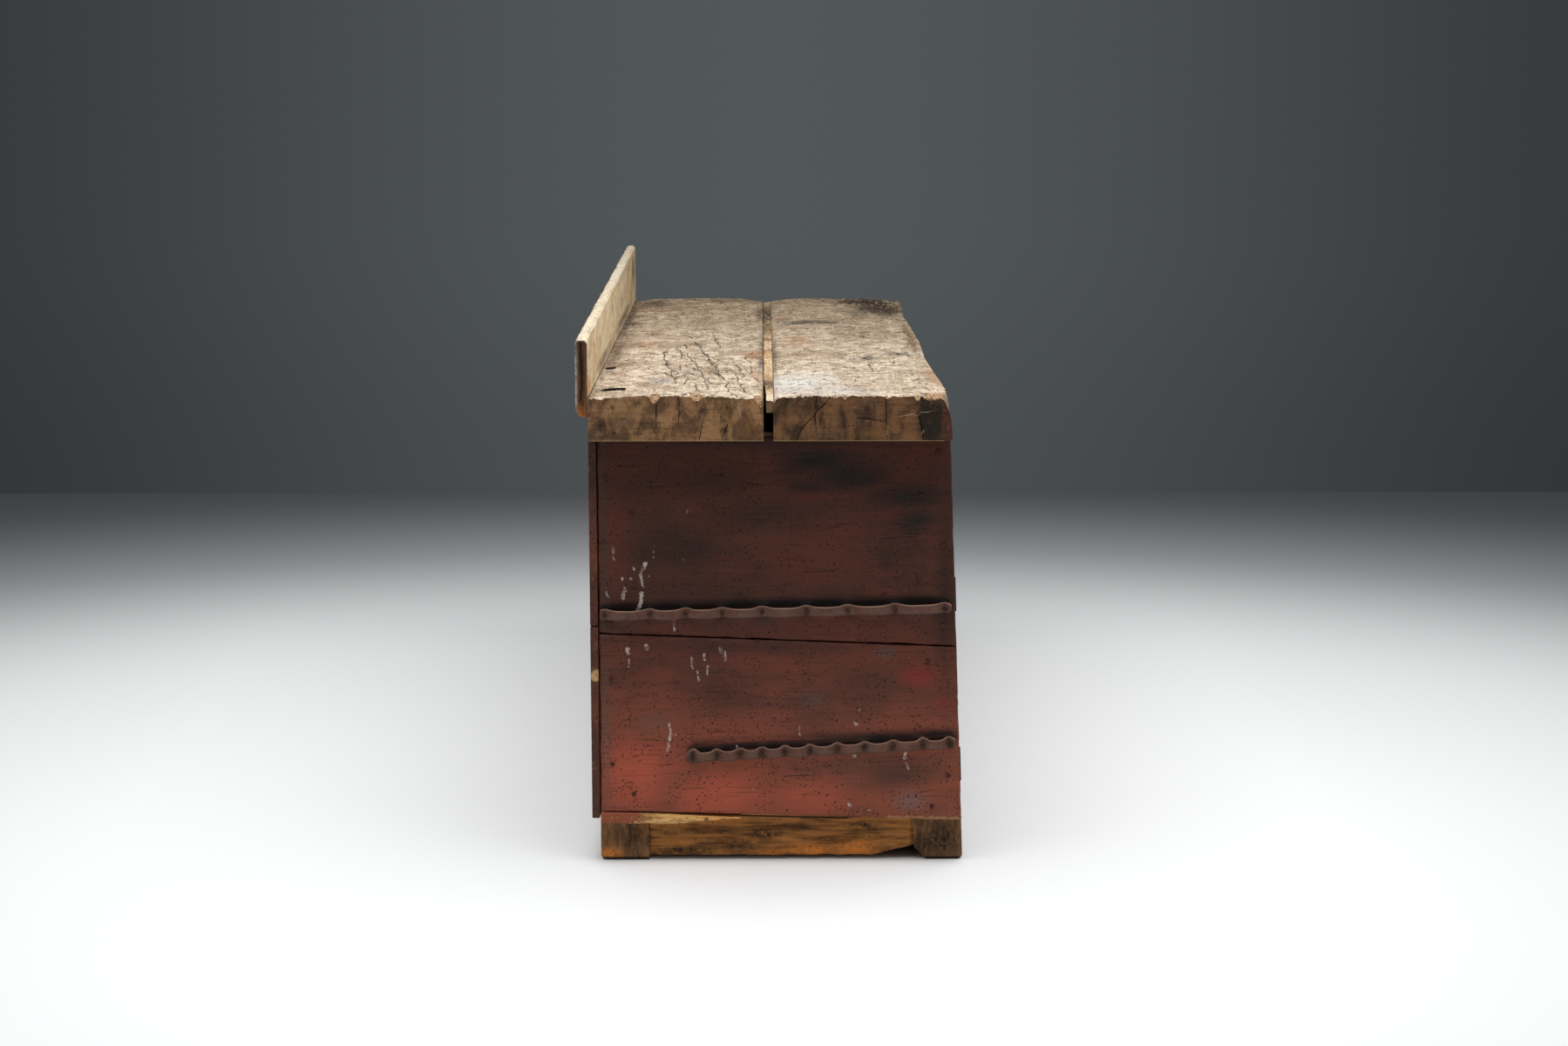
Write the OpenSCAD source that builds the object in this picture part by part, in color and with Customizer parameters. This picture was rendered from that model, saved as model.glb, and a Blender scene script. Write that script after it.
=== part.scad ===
// Old painted workbench: a thick two-plank top with an upstand board, on a pegged
// frame closed by end and back boards, with two drawers and two ledged doors in front.
// X runs along the bench, the front faces -Y, the leather tool straps are on the -X end.
// The origin is on the floor, under the middle of the whole bench.

/* [Top] */
// Length of the two top planks
top_length = 1900; // [1500:10:2400]
// Height of the working surface above the floor
worktop_height = 850; // [780:5:950]
// Thickness of the top planks
plank_thickness = 80; // [78:1:110]
// Width of the plank along the back
back_plank_width = 303; // [280:1:360]
// Width of the plank along the front
front_plank_width = 311; // [290:1:360]
// Open joint between the two planks
plank_gap = 17; // [12:1:24]
// How far each plank's long edges have worn below its middle
plank_crown = 5; // [2:0.5:8]
// How far the top runs past the base at each end
end_overhang = 55; // [30:1:90]
// How far the top runs past the back of the posts
back_overhang = 10; // [4:1:30]
// How far the planks' edges along the joint have rounded over
gap_edge_wear = 12; // [4:1:16]
// How far the edge along the front has rounded over
front_edge_wear = 7; // [2:1:12]
// How far the front corner at the strap end has worn away
corner_wear = 16; // [6:1:24]
// Width of the loose batten that fills the joint
batten_width = 11; // [8:1:11]
// Height of the batten
batten_height = 22; // [14:1:40]
// How far the batten lies below the surface
batten_sink = 8; // [2:1:14]
// Thickness of the upstand board
upstand_thickness = 22; // [18:1:34]
// Height of the upstand above the surface at the strap end
upstand_rise_near = 98; // [60:1:150]
// Height of the upstand above the surface at the other end
upstand_rise_far = 126; // [60:1:170]
// How far the upstand laps down the plank's back edge
upstand_lap = 38; // [28:1:50]
// How far the upstand's lower outside edge has rounded over
upstand_edge_wear = 15; // [6:1:17]
// Depth of the two tool slots in the back plank
slot_depth = 45; // [20:1:50]

/* [Base] */
// Depth of the base at the floor, from the posts' backs to the front feet
base_depth = 650; // [630:1:700]
// How far the front leans back from floor to top
front_rake = 29; // [0:1:40]
// Post width across the bench
post_depth = 86; // [70:1:100]
// Post width along the bench
post_width = 70; // [60:1:90]
// Width of the two middle posts
middle_post_width = 70; // [66:1:90]
// Depth of the two middle posts
middle_post_depth = 60; // [44:1:80]
// Length of the tenons that enter the front middle post from each side
middle_tenon = 29; // [18:1:30]
// Height of the lowest rails
low_rail_height = 92; // [70:1:120]
// Gap between the lowest rails and the floor
floor_clearance = 8; // [4:1:16]
// Height of the top rails of the ends and back
high_rail_height = 70; // [50:1:90]
// Height of the rail above the drawers
front_top_rail_height = 57; // [40:1:70]
// Height of the rail below the drawers
drawer_rail_height = 60; // [44:1:80]
// Thickness of the rails along the bench
rail_thickness = 40; // [34:1:44]
// Thickness of the rails across the ends
end_rail_thickness = 45; // [34:1:50]
// Width of the bearers across the middle
bearer_width = 60; // [50:1:66]
// Height of the bearer under the floor boards
floor_bearer_height = 60; // [40:1:80]
// Thickness of the tenons
tenon_thickness = 14; // [10:1:16]
// Length of the rail tenons
tenon_length = 42; // [30:1:45]
// How far the rails' tenons are set in from their edges
tenon_shoulder = 14; // [8:1:16]
// Height of the stub tenons that locate the top and the middle posts
stub_height = 28; // [15:1:32]
// Width of the wooden pegs
peg_width = 10; // [6:1:12]
// How far the inner edges of the front feet have been cut away
foot_wear = 22; // [8:1:30]
// Length of the notch knocked out under the rail across the end
gouge_length = 77; // [30:1:120]
// Height of that notch beside the front post
gouge_height = 18; // [6:1:26]

/* [Boards] */
// Thickness of the end boards
end_board_thickness = 22; // [16:1:28]
// Height of the end boards' joint at the back edge
end_seam_back = 421; // [380:1:440]
// Height of the end boards' joint at the front edge
end_seam_front = 397; // [380:1:440]
// How far the end boards stop short of the back boards
end_set_in = 1.5; // [0.5:0.5:4]
// Width of the open joint between the end boards
seam_gap = 2.5; // [1:0.5:5]
// Height of the lower end board's foot at the back edge
end_foot_back = 95; // [86:1:98]
// Height of the lower end board's foot at the front edge
end_foot_front = 78; // [60:1:90]
// Height of the strip that has split off the lower end board
strip_height = 20; // [12:1:26]
// Length of the strip
strip_length = 250; // [210:5:320]
// How much of the strip still has its full height
strip_whole = 72; // [50:1:120]
// Width of the split above the strip
split_gap = 0.8; // [0.4:0.1:2]
// Thickness of the back boards
back_board_thickness = 14; // [9:1:18]
// Height of the back boards' joint
back_seam = 433; // [380:1:480]
// Height of the back boards' foot
back_foot = 83; // [60:1:96]
// Thickness of the floor boards
floor_board_thickness = 20; // [14:1:26]
// Number of floor boards
floor_board_count = 5; // [3:1:8]
// Open joint between the floor boards
floor_board_gap = 2; // [1:0.5:5]

/* [Drawers] */
// Height of the drawer fronts
drawer_front_height = 117; // [90:1:135]
// Thickness of the drawer fronts
drawer_front_thickness = 20; // [16:1:26]
// Depth of the drawer boxes behind their fronts
drawer_box_depth = 500; // [380:5:515]
// How far the drawer sides lie below the tops of their fronts
drawer_side_drop = 17; // [10:1:30]
// Thickness of the drawer sides and backs
drawer_side_thickness = 12; // [9:1:15]
// Thickness of the drawer bottoms
drawer_bottom_thickness = 8; // [5:1:10]
// Height of the grooves for the bottoms above the feet of the sides
drawer_bottom_lift = 9; // [6:0.5:14]
// How far the drawer backs stand in from the ends of the sides
drawer_back_inset = 10; // [4:1:20]
// How far the drawer backs lie below the tops of the sides
back_drop = 5; // [1:1:15]
// Width of the strips that the drawers run on
runner_width = 25; // [18:1:34]
// Height of the runners
runner_height = 35; // [25:1:45]
// Height of the stops behind the drawers
stop_height = 12; // [6:1:20]
// Length of the stops
stop_length = 20; // [10:1:40]
// How far the strips above the drawer sides lie below the top
kicker_drop = 32; // [10:1:40]
// Depth of the dovetails in the drawer fronts
dovetail_depth = 13; // [8:1:15]
// Number of dovetails at each front corner
dovetail_count = 3; // [2:1:4]

/* [Doors] */
// Thickness of the door boards
door_thickness = 20; // [16:1:26]
// Number of boards in each door
door_board_count = 5; // [3:1:7]
// Open joint between neighbouring door boards
door_board_gap = 1.5; // [0.5:0.5:3]
// Height of the ledges across the back of each door
ledge_height = 60; // [40:1:80]
// Thickness of the ledges
ledge_thickness = 20; // [14:1:26]
// How far the ledges stop short of the doors' edges
ledge_end = 14; // [8:1:30]
// How far the rail under the drawers reaches down behind the doors
lip_height = 12; // [8:1:18]
// Gap round the doors and drawer fronts
front_gap = 3; // [2:0.5:5]
// Gap at the hinged edge, where the two leaves lie
hinge_gap = 4; // [3.6:0.2:6]
// Height of one hinge
hinge_height = 60; // [45:5:80]
// Thickness of a hinge leaf
leaf_thickness = 1.6; // [1:0.1:1.7]
// Width of a hinge leaf behind the face of the door
leaf_width = 17; // [12:1:19]
// Radius of the hinge knuckles
knuckle_radius = 3.2; // [3:0.1:4.5]
// Radius of the hinge pins
pin_radius = 1.6; // [1.2:0.1:1.8]
// Radius of the turn button's screw
screw_radius = 3; // [2:0.25:4]
// How far the screw reaches into the post
screw_hold = 30; // [15:1:38]
// Length of the turn button
button_length = 112; // [100:1:130]
// Width of the turn button
button_width = 24; // [18:1:34]
// Thickness of the turn button
button_thickness = 14; // [10:1:18]
// How far the knobs stand out from the front
knob_reach = 24; // [18:1:32]
// Radius of the knobs
knob_radius = 16; // [12:1:20]
// Radius of the knobs' dowels
knob_dowel = 7; // [4:0.5:8]
// How far the doors' knobs stand in from their free edges
door_knob_inset = 45; // [35:1:80]

/* [Straps and nails] */
// Width of the leather straps
strap_width = 19; // [14:1:26]
// Thickness of the leather
strap_thickness = 3; // [2:0.5:4]
// How far the loops stand out between their nails on the upper strap
upper_loop = 19; // [12:1:26]
// How far the loops stand out between their nails on the lower strap
lower_loop = 13; // [11:1:18]
// How far the loops have sagged
loop_sag = 3; // [0:0.5:5]
// Width of the square nail shanks
nail_shank = 3; // [2:0.25:4]
// Width across the nail heads
nail_head = 8.5; // [6:0.5:11]
// Thickness of the nail heads
nail_head_height = 2; // [1:0.25:3]
// How far the nails of the back reach into the wood behind
nail_hold = 25; // [15:1:35]

/* [Hidden] */

$fn = 48;

// Colours
worn_wood = [0.66, 0.56, 0.43];
bare_pine = [0.55, 0.38, 0.22];
red_paint = [0.36, 0.15, 0.12];
end_wood = [0.36, 0.25, 0.16];
inside_wood = [0.58, 0.46, 0.33];
old_iron = [0.20, 0.18, 0.17];
old_leather = [0.30, 0.19, 0.15];

// Clearances
wood_fit = 0.3;         // round each tenon, and between a drawer and its runners
mortise_spare = 2;      // past the end of each tenon
pin_fit = 0.08;         // round a turning pin
knuckle_fit = 0.3;      // between the knuckles of two leaves, and in front of the posts
dovetail_fit = 0.15;    // round each dovetail
nail_fit = 0.1;         // round a nail in wood or leather
stop_fit = 0.4;         // between a closed door or drawer and its stop
notch_fit = 1;          // round a post that stands in a floor board
back_edge_wear = 2;     // round of the top's edge behind the upstand's foot
nail_stop = 3;          // wood left beyond the point of a nail that stays inside
peg_past = 1.5;         // how far a peg runs past its tenon
past = 1;               // how far a cut runs past the face that it opens

// Heights
under_top = worktop_height - plank_thickness;
low_rail_top = floor_clearance + low_rail_height;
front_top_rail_z = under_top - front_top_rail_height;
high_rail_z = under_top - high_rail_height;
drawer_z = front_top_rail_z - front_gap - drawer_front_height;
drawer_rail_top = drawer_z - front_gap;
drawer_rail_z = drawer_rail_top - drawer_rail_height;
drawer_side_z = drawer_rail_top + wood_fit;
drawer_side_top = drawer_z + drawer_front_height - drawer_side_drop;
drawer_knob_z = drawer_z + drawer_front_height / 2;
door_z = low_rail_top + front_gap;
door_top = drawer_rail_z - front_gap;
door_knob_z = between(door_z, door_top, 0.62);
button_z = between(door_z, door_top, 0.5);

// Lengths along the bench
half_top = top_length / 2;
half_base = half_top - end_overhang;
half_frame = half_base - end_board_thickness;
bay_outer = half_frame - post_width;
bay_inner = middle_post_width / 2;
beyond_mortise = post_width - tenon_length - mortise_spare;
peg_length = (rail_thickness + tenon_thickness) / 2 + peg_past;
bearer_stub = rail_thickness - peg_length - peg_past - past;    // stops short of the pegs

// Depths across the bench: the whole bench, from knobs to upstand, is centred on the origin
back_y = (base_depth - front_rake * door_knob_z / under_top + knob_reach
    - back_overhang - upstand_thickness) / 2;
front_foot_y = back_y - base_depth;
plank_back_y = back_y + back_overhang;
gap_back_y = plank_back_y - back_plank_width;
gap_front_y = gap_back_y - plank_gap;
plank_front_y = gap_front_y - front_plank_width;
back_post_y = back_y - post_depth;
end_board_back_y = back_y - end_set_in;
rake_angle = atan(front_rake / under_top);
drawer_box_back = front_y(drawer_side_z) + drawer_front_thickness + drawer_box_depth;

// Where the raked front stands at a height
function front_y(z) = front_foot_y + front_rake * z / under_top;

// A point on a line from a to b
function between(a, b, t) = a + (b - a) * t;

// The sum of the first n members of a list
function sum_of(list, n) = n <= 0 ? 0 : list[n - 1] + sum_of(list, n - 1);

// A box between two corners
module block(x, y, z) {
    translate([x[0], y[0], z[0]]) cube([x[1] - x[0], y[1] - y[0], z[1] - z[0]]);
}

// An outline in Y and Z, drawn out along X
module along_x(x, outline) {
    translate([x[0], 0, 0]) rotate([90, 0, 90]) linear_extrude(x[1] - x[0]) polygon(outline);
}

// An outline in X and Z, drawn out along Y
module along_y(y, outline) {
    translate([0, y[1], 0]) rotate([90, 0, 0]) linear_extrude(y[1] - y[0]) polygon(outline);
}

// A piece that leans with the raked front, set in behind its face
module raked(x, z, inset, thickness) {
    along_x(x, [
        [front_y(z[0]) + inset, z[0]],
        [front_y(z[0]) + inset + thickness, z[0]],
        [front_y(z[1]) + inset + thickness, z[1]],
        [front_y(z[1]) + inset, z[1]]
    ]);
}

// A piece behind the raked front whose back end is upright
module from_front(x, z, inset, back) {
    along_x(x, [
        [front_y(z[0]) + inset, z[0]], [back, z[0]],
        [back, z[1]], [front_y(z[1]) + inset, z[1]]
    ]);
}

// Places a piece square to the raked front: its -Y points out of the face
module on_front(x, z) {
    translate([x, front_y(z), z]) rotate([-rake_angle, 0, 0]) children();
}

// Pieces are drawn for the left end and mirrored for the right
module side(s) {
    if (s < 0) children();
    else mirror([1, 0, 0]) children();
}

// The corner between two faces, outside a round of radius r, drawn out along X
module rounding(x, y, z, r, turn) {
    translate([x[0], y, z]) rotate([90, 0, 90]) rotate(turn) linear_extrude(x[1] - x[0])
        difference() {
            translate([-past, -past]) square(r + past);
            translate([r, r]) circle(r);
        }
}

// Planks

// How far a rounded edge lies below its corner, at a distance in from the edge
function round_drop(d, r) = d < r ? r - sqrt(r * r - (r - d) * (r - d)) : 0;

// A plank's surface is flat along its middle share and falls away to both edges
flat_share = 1 / 4;
function plank_top(y, y0, y1, r0, r1) = worktop_height
    - plank_crown * pow(max(0, abs(2 * (y - y0) / (y1 - y0) - 1) - flat_share) / (1 - flat_share), 2)
    - round_drop(y - y0, r0) - round_drop(y1 - y, r1);

// A plank's section, with a worn edge of its own radius on each side
function plank_section(y0, y1, r0, r1) = concat(
    [[y0, under_top], [y1, under_top]],
    [for (a = [0:22.5:90]) let (y = y1 - r1 * (1 - cos(a))) [y, plank_top(y, y0, y1, r0, r1)]],
    [for (i = [7, 6, 5, 3, 2, 1]) let (y = between(y0, y1, i / 8)) [y, plank_top(y, y0, y1, r0, r1)]],
    [for (a = [90:-22.5:0]) let (y = y0 + r0 * (1 - cos(a))) [y, plank_top(y, y0, y1, r0, r1)]]
);

// A chip out of the top edge at the strap end, running out along the plank
module end_chip(y, width, depth, run) {
    spread = 4;     // how much wider the cutter is, above the surface, than the chip
    translate([-half_top, y, worktop_height]) rotate([0, -atan(depth / run), 0])
        along_x([-run, run * 2], [
            [0, -depth], [width / 2 * spread, depth * (spread - 1)],
            [-width / 2 * spread, depth * (spread - 1)]
        ]);
}

// Chips at the strap end: [share of the plank's width, width, depth, run along the plank]
back_plank_chips = [[0.62, 16, 11, 60], [0.4, 35, 10, 90]];
front_plank_chips = [[0.59, 14, 5, 40], [0.37, 9, 4, 30], [0.2, 22, 6, 70]];

// Tool slots: [from the strap end, length, in from the plank's back edge, width, point]
tool_slots = [[92, 38, 14, 46, 9], [442, 32, 4, 21, 4]];

// A tool slot cut down from the surface, pointed at the back
module tool_slot(slot) {
    x = -half_top + slot[0];
    length = slot[1];
    y = plank_back_y - slot[2];
    width = slot[3];
    point = slot[4];
    translate([0, 0, worktop_height - slot_depth]) linear_extrude(slot_depth + past)
        polygon([
            [x, y - width], [x + length, y - width], [x + length, y - point],
            [x + length / 2, y], [x, y - point]
        ]);
}

// Stub tenons on the tops of the corner posts
function stub_x(fit) = [-half_frame + tenon_shoulder - fit, -bay_outer - tenon_shoulder + fit];
function stub_z(spare) = [under_top - past, under_top + stub_height + spare];

module back_stub(fit = 0, spare = 0) {
    block(stub_x(fit), [back_post_y + tenon_shoulder - fit, back_y - tenon_shoulder + fit],
        stub_z(spare));
}

module front_stub(fit = 0, spare = 0) {
    raked(stub_x(fit), stub_z(spare), tenon_shoulder - fit,
        post_depth - 2 * tenon_shoulder + 2 * fit);
}

module plank_back() {
    color(worn_wood) difference() {
        along_x([-half_top, half_top],
            plank_section(gap_back_y, plank_back_y, gap_edge_wear, back_edge_wear));
        for (s = [-1, 1]) side(s) back_stub(wood_fit, mortise_spare);
        for (slot = tool_slots) tool_slot(slot);
        for (chip = back_plank_chips)
            end_chip(between(gap_back_y, plank_back_y, chip[0]), chip[1], chip[2], chip[3]);
        upstand_nails(nail_fit);
    }
}

module plank_front() {
    color(worn_wood) difference() {
        along_x([-half_top, half_top],
            plank_section(plank_front_y, gap_front_y, front_edge_wear, gap_edge_wear));
        for (s = [-1, 1]) side(s) front_stub(wood_fit, mortise_spare);
        translate([-half_top, plank_front_y, under_top - past])
            linear_extrude(plank_thickness + 2 * past)
                polygon([[-past, -past], [corner_wear + past, -past], [-past, corner_wear + past]]);
        for (chip = front_plank_chips)
            end_chip(between(plank_front_y, gap_front_y, chip[0]), chip[1], chip[2], chip[3]);
    }
}

module plank_gap_batten() {
    top = worktop_height - batten_sink;
    color(bare_pine)
        block([-half_top, half_top], [gap_front_y, gap_front_y + batten_width],
            [top - batten_height, top]);
}

// The board that stands along the back edge, higher towards the far end
module upstand() {
    z0 = worktop_height - upstand_lap;
    near = worktop_height + upstand_rise_near;
    far = worktop_height + upstand_rise_far;
    y = [plank_back_y, plank_back_y + upstand_thickness];
    edge = 4;       // the bevel worn along its top edges
    slope = norm([top_length, far - near]);
    color(worn_wood) difference() {
        along_y(y, [[-half_top, z0], [half_top, z0], [half_top, far], [-half_top, near]]);
        rounding([-half_top - past, half_top + past], y[1], z0, upstand_edge_wear, 90);
        for (i = [0, 1])
            translate([-half_top, y[i], near]) rotate([0, -asin((far - near) / slope), 0])
                rotate([i == 0 ? 45 : -45, 0, 0])
                    translate([-edge, -edge * 2, -edge / sqrt(2)])
                        cube([slope + 2 * edge, edge * 4, edge * 2]);
        upstand_nails(nail_fit);
    }
}

// Nails

// A square nail driven along +Y, its octagonal head outside; with a fit, the hole for it
module nail(length, fit = 0) {
    w = nail_shank + 2 * fit;
    over = fit > 0 ? past : 0;
    translate([-w / 2, -over, -w / 2]) cube([w, length + over + fit, w]);
    if (fit == 0)
        rotate([90, 0, 0]) rotate(22.5) cylinder(h = nail_head_height, d = nail_head, $fn = 8);
}

// Turns a nail to run along +X, into the strap end, or along -Y, into the back
module into_end(y, z, x = -half_base) { translate([x, y, z]) rotate(-90) children(); }
module into_back(x, y, z) { translate([x, y, z]) rotate(180) children(); }

// Nails of the end boards: [distance in from the edge, share of the board's height]
upper_back_nails = [[15, 0.8], [61, 0.61], [61, 0.25], [20, 0.05]];
upper_front_nails = [[23, 0.93], [57, 0.72], [19, 0.48], [66, 0.31], [23, 0.1]];
lower_back_nails = [[23, 0.74], [23, 0.27], [61, 0.1]];
lower_front_nails = [[53, 0.91], [23, 0.26], [53, 0.08]];
end_nail_length = end_board_thickness + beyond_mortise - past;

module end_nails(fit = 0) {
    for (n = upper_back_nails)
        into_end(back_y - n[0], between(end_seam_back, under_top, n[1])) nail(end_nail_length, fit);
    for (n = upper_front_nails) {
        z = between(end_seam_front, under_top, n[1]);
        into_end(front_y(z) + n[0], z) nail(end_nail_length, fit);
    }
    for (n = lower_back_nails)
        into_end(back_y - n[0], between(end_foot_back, end_seam_back, n[1]))
            nail(end_nail_length, fit);
    for (n = lower_front_nails) {
        z = between(end_foot_front, end_seam_front, n[1]);
        into_end(front_y(z) + n[0], z) nail(end_nail_length, fit);
    }
}

// The split strip's own nails, set in from the back
strip_nail_setbacks = [32, 190];

module strip_nails(fit = 0) {
    for (setback = strip_nail_setbacks)
        into_end(back_y - setback, end_foot(back_y - setback) - strip_height / 2)
            nail(end_nail_length, fit);
}

module end_board_nails() {
    color(old_iron) {
        for (s = [-1, 1]) side(s) end_nails();
        strip_nails();
    }
}

// Nails of the back boards, clear of the rails' mortises
back_nail_heights = concat(
    [for (t = [0.16, 0.5, 0.9]) between(back_foot, back_seam, t)],
    [for (t = [0.1, 0.42, 0.72]) between(back_seam, under_top, t)]
);
back_nail_x = [-half_frame + beyond_mortise / 2, -bay_inner / 2];

module back_board_nails(fit = 0) {
    for (s = [-1, 1]) side(s)
        for (x = back_nail_x, z = back_nail_heights)
            into_back(x, back_y + back_board_thickness, z)
                nail(back_board_thickness + nail_hold, fit);
}

// Nails of the upstand, into the plank's back edge, clear of the tool slots
upstand_nail_pitch = 175;
upstand_nail_inset = 60;
upstand_nail_drop = 16;     // below the working surface

module upstand_nails(fit = 0) {
    for (x = [upstand_nail_inset:upstand_nail_pitch:top_length - upstand_nail_inset])
        into_back(-half_top + x, plank_back_y + upstand_thickness,
            worktop_height - upstand_nail_drop)
            nail(upstand_thickness + nail_hold, fit);
}

module back_nails() {
    color(old_iron) {
        back_board_nails();
        upstand_nails();
    }
}

// Tenons and mortises: a fit of 0 draws the tenon, otherwise the mortise for it

// How far a mortise runs past its tenon
function spare(fit) = fit > 0 ? mortise_spare : 0;

// A rail of the raked front, into the corner post or the middle post
module front_tenon(z, fit = 0) {
    raked([-bay_outer - tenon_length - spare(fit), -bay_outer + past],
        [z[0] + tenon_shoulder - fit, z[1] - tenon_shoulder + fit],
        (rail_thickness - tenon_thickness) / 2 - fit, tenon_thickness + 2 * fit);
}

module drawer_rail_inner_tenon(fit = 0) {
    raked([-bay_inner - past, -bay_inner + middle_tenon + spare(fit)],
        [drawer_rail_z + tenon_shoulder - fit, drawer_rail_top - tenon_shoulder + fit],
        (rail_thickness - tenon_thickness) / 2 - fit, tenon_thickness + 2 * fit);
}

module back_tenon(z, fit = 0) {
    y = back_y - rail_thickness / 2;
    block([-bay_outer - tenon_length - spare(fit), -bay_outer + past],
        [y - tenon_thickness / 2 - fit, y + tenon_thickness / 2 + fit],
        [z[0] + tenon_shoulder - fit, z[1] - tenon_shoulder + fit]);
}

// A rail across the end, into the front and back posts
module end_tenons(z, fit = 0) {
    middle = -half_frame + end_rail_thickness / 2;
    x = [middle - tenon_thickness / 2 - fit, middle + tenon_thickness / 2 + fit];
    zs = [z[0] + tenon_shoulder - fit, z[1] - tenon_shoulder + fit];
    raked(x, zs, post_depth - tenon_length - spare(fit), tenon_length + spare(fit) + past);
    block(x, [back_post_y - past, back_post_y + tenon_length + spare(fit)], zs);
}

// The middle posts, into the rails below and above them
module middle_post_tenons(z, back, fit = 0) {
    x = [-bay_inner + tenon_shoulder - fit, bay_inner - tenon_shoulder + fit];
    for (zs = [
        [z[0] - stub_height - spare(fit), z[0] + past], [z[1] - past, z[1] + stub_height + spare(fit)]
    ])
        if (back) {
            y = back_y - rail_thickness / 2;
            block(x, [y - tenon_thickness / 2 - fit, y + tenon_thickness / 2 + fit], zs);
        } else
            raked(x, zs, (rail_thickness - tenon_thickness) / 2 - fit, tenon_thickness + 2 * fit);
}

// The bearers across the middle, into the front and back rails
module bearer_stubs(z, fit = 0) {
    x = [-bearer_width / 2 + tenon_shoulder - fit, bearer_width / 2 - tenon_shoulder + fit];
    zs = [z[0] + tenon_shoulder - fit, z[1] - tenon_shoulder + fit];
    reach = bearer_stub + spare(fit) / 2;
    raked(x, zs, rail_thickness - reach, reach + past);
    block(x, [back_y - rail_thickness - past, back_y - rail_thickness + reach], zs);
}

low_z = [floor_clearance, low_rail_top];
high_z = [high_rail_z, under_top];
front_top_z = [front_top_rail_z, under_top];
drawer_rail_zs = [drawer_rail_z, drawer_rail_top];
front_middle_z = [low_rail_top, front_top_rail_z];
back_middle_z = [low_rail_top, high_rail_z];
top_bearer_z = [max(front_top_rail_z, high_rail_z), under_top];
floor_bearer_z = [low_rail_top - floor_bearer_height, low_rail_top];

// The pegs, driven through the front tenons square to the raked face
module corner_pegs(fit = 0) {
    for (z = [low_z, drawer_rail_zs, front_top_z])
        peg(-bay_outer - tenon_length / 2, (z[0] + z[1]) / 2, fit);
}

module middle_pegs(fit = 0) {
    peg(0, front_middle_z[0] - stub_height / 2, fit);
    peg(0, front_middle_z[1] + stub_height / 2, fit);
    for (s = [-1, 1]) side(s)
        peg(-bay_inner + middle_tenon / 2, (drawer_rail_z + drawer_rail_top) / 2, fit);
}

module peg(x, z, fit) {
    over = fit > 0 ? past : 0;
    on_front(x, z) translate([0, peg_length + fit, 0]) rotate([90, 0, 0])
        cylinder(h = peg_length + over + fit, r = peg_width / 2 + fit);
}

module tenon_pegs() {
    color(bare_pine) {
        for (s = [-1, 1]) side(s) corner_pegs();
        middle_pegs();
    }
}

// Posts

module post_front(s) {
    x = [-half_frame, -bay_outer];
    color(end_wood) side(s) difference() {
        union() {
            raked(x, [0, under_top], 0, post_depth);
            front_stub();
        }
        for (z = [low_z, drawer_rail_zs, front_top_z]) front_tenon(z, wood_fit);
        for (z = [low_z, high_z]) end_tenons(z, wood_fit);
        corner_pegs(pin_fit);
        end_nails(nail_fit);
        rounding([x[0] - past, x[1] + past], front_foot_y, 0, foot_wear / 2, 0);
        along_x([x[0] - past, x[1] + past], [
            [front_foot_y + post_depth - foot_wear, -past],
            [front_foot_y + post_depth + foot_wear, -past],
            [front_foot_y + post_depth + foot_wear, foot_wear * 2],
            [front_foot_y + post_depth - foot_wear + past, 0]
        ]);
    }
}

module post_back(s) {
    x = [-half_frame, -bay_outer];
    color(end_wood) side(s) difference() {
        union() {
            block(x, [back_post_y, back_y], [0, under_top]);
            back_stub();
        }
        for (z = [low_z, high_z]) {
            back_tenon(z, wood_fit);
            end_tenons(z, wood_fit);
        }
        end_nails(nail_fit);
        back_board_nails(nail_fit);
        strip_nails(nail_fit);
        rounding([x[0] - past, x[1] + past], back_y, 0, foot_wear / 2, 90);
    }
}

module post_front_left() { post_front(-1); }
module post_front_right() { post_front(1); }
module post_back_left() { post_back(-1); }
module post_back_right() { post_back(1); }

module post_front_middle() {
    color(red_paint) difference() {
        union() {
            raked([-bay_inner, bay_inner], front_middle_z, 0, middle_post_depth);
            middle_post_tenons(front_middle_z, false);
        }
        for (s = [-1, 1]) side(s) drawer_rail_inner_tenon(wood_fit);
        middle_pegs(pin_fit);
        button_screw(pin_fit);
    }
}

module post_back_middle() {
    color(inside_wood) difference() {
        union() {
            block([-bay_inner, bay_inner], [back_y - middle_post_depth, back_y], back_middle_z);
            middle_post_tenons(back_middle_z, true);
        }
        back_board_nails(nail_fit);
    }
}

// Rails

module rail_end(s, z) {
    side(s) {
        along_x([-half_frame, -half_frame + end_rail_thickness], [
            [front_y(z[0]) + post_depth, z[0]], [back_post_y, z[0]],
            [back_post_y, z[1]], [front_y(z[1]) + post_depth, z[1]]
        ]);
        end_tenons(z);
    }
}

module rail_end_bottom(s) {
    post_y = front_y(floor_clearance) + post_depth;
    color(end_wood) difference() {
        rail_end(s, low_z);
        side(s) {
            strip_nails(nail_fit);
            // the underside has been knocked away beside the front post
            along_x([-half_frame - past, -half_frame + end_rail_thickness + past], [
                [post_y, floor_clearance - past], [post_y + gouge_length, floor_clearance - past],
                [post_y + gouge_length, floor_clearance], [post_y, floor_clearance + gouge_height]
            ]);
        }
    }
}

module rail_end_bottom_left() { rail_end_bottom(-1); }
module rail_end_bottom_right() { rail_end_bottom(1); }
module rail_end_top_left() { color(inside_wood) rail_end(-1, high_z); }
module rail_end_top_right() { color(inside_wood) rail_end(1, high_z); }

module rail_front(z) {
    raked([-bay_outer, bay_outer], z, 0, rail_thickness);
    for (s = [-1, 1]) side(s) front_tenon(z);
}

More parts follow.
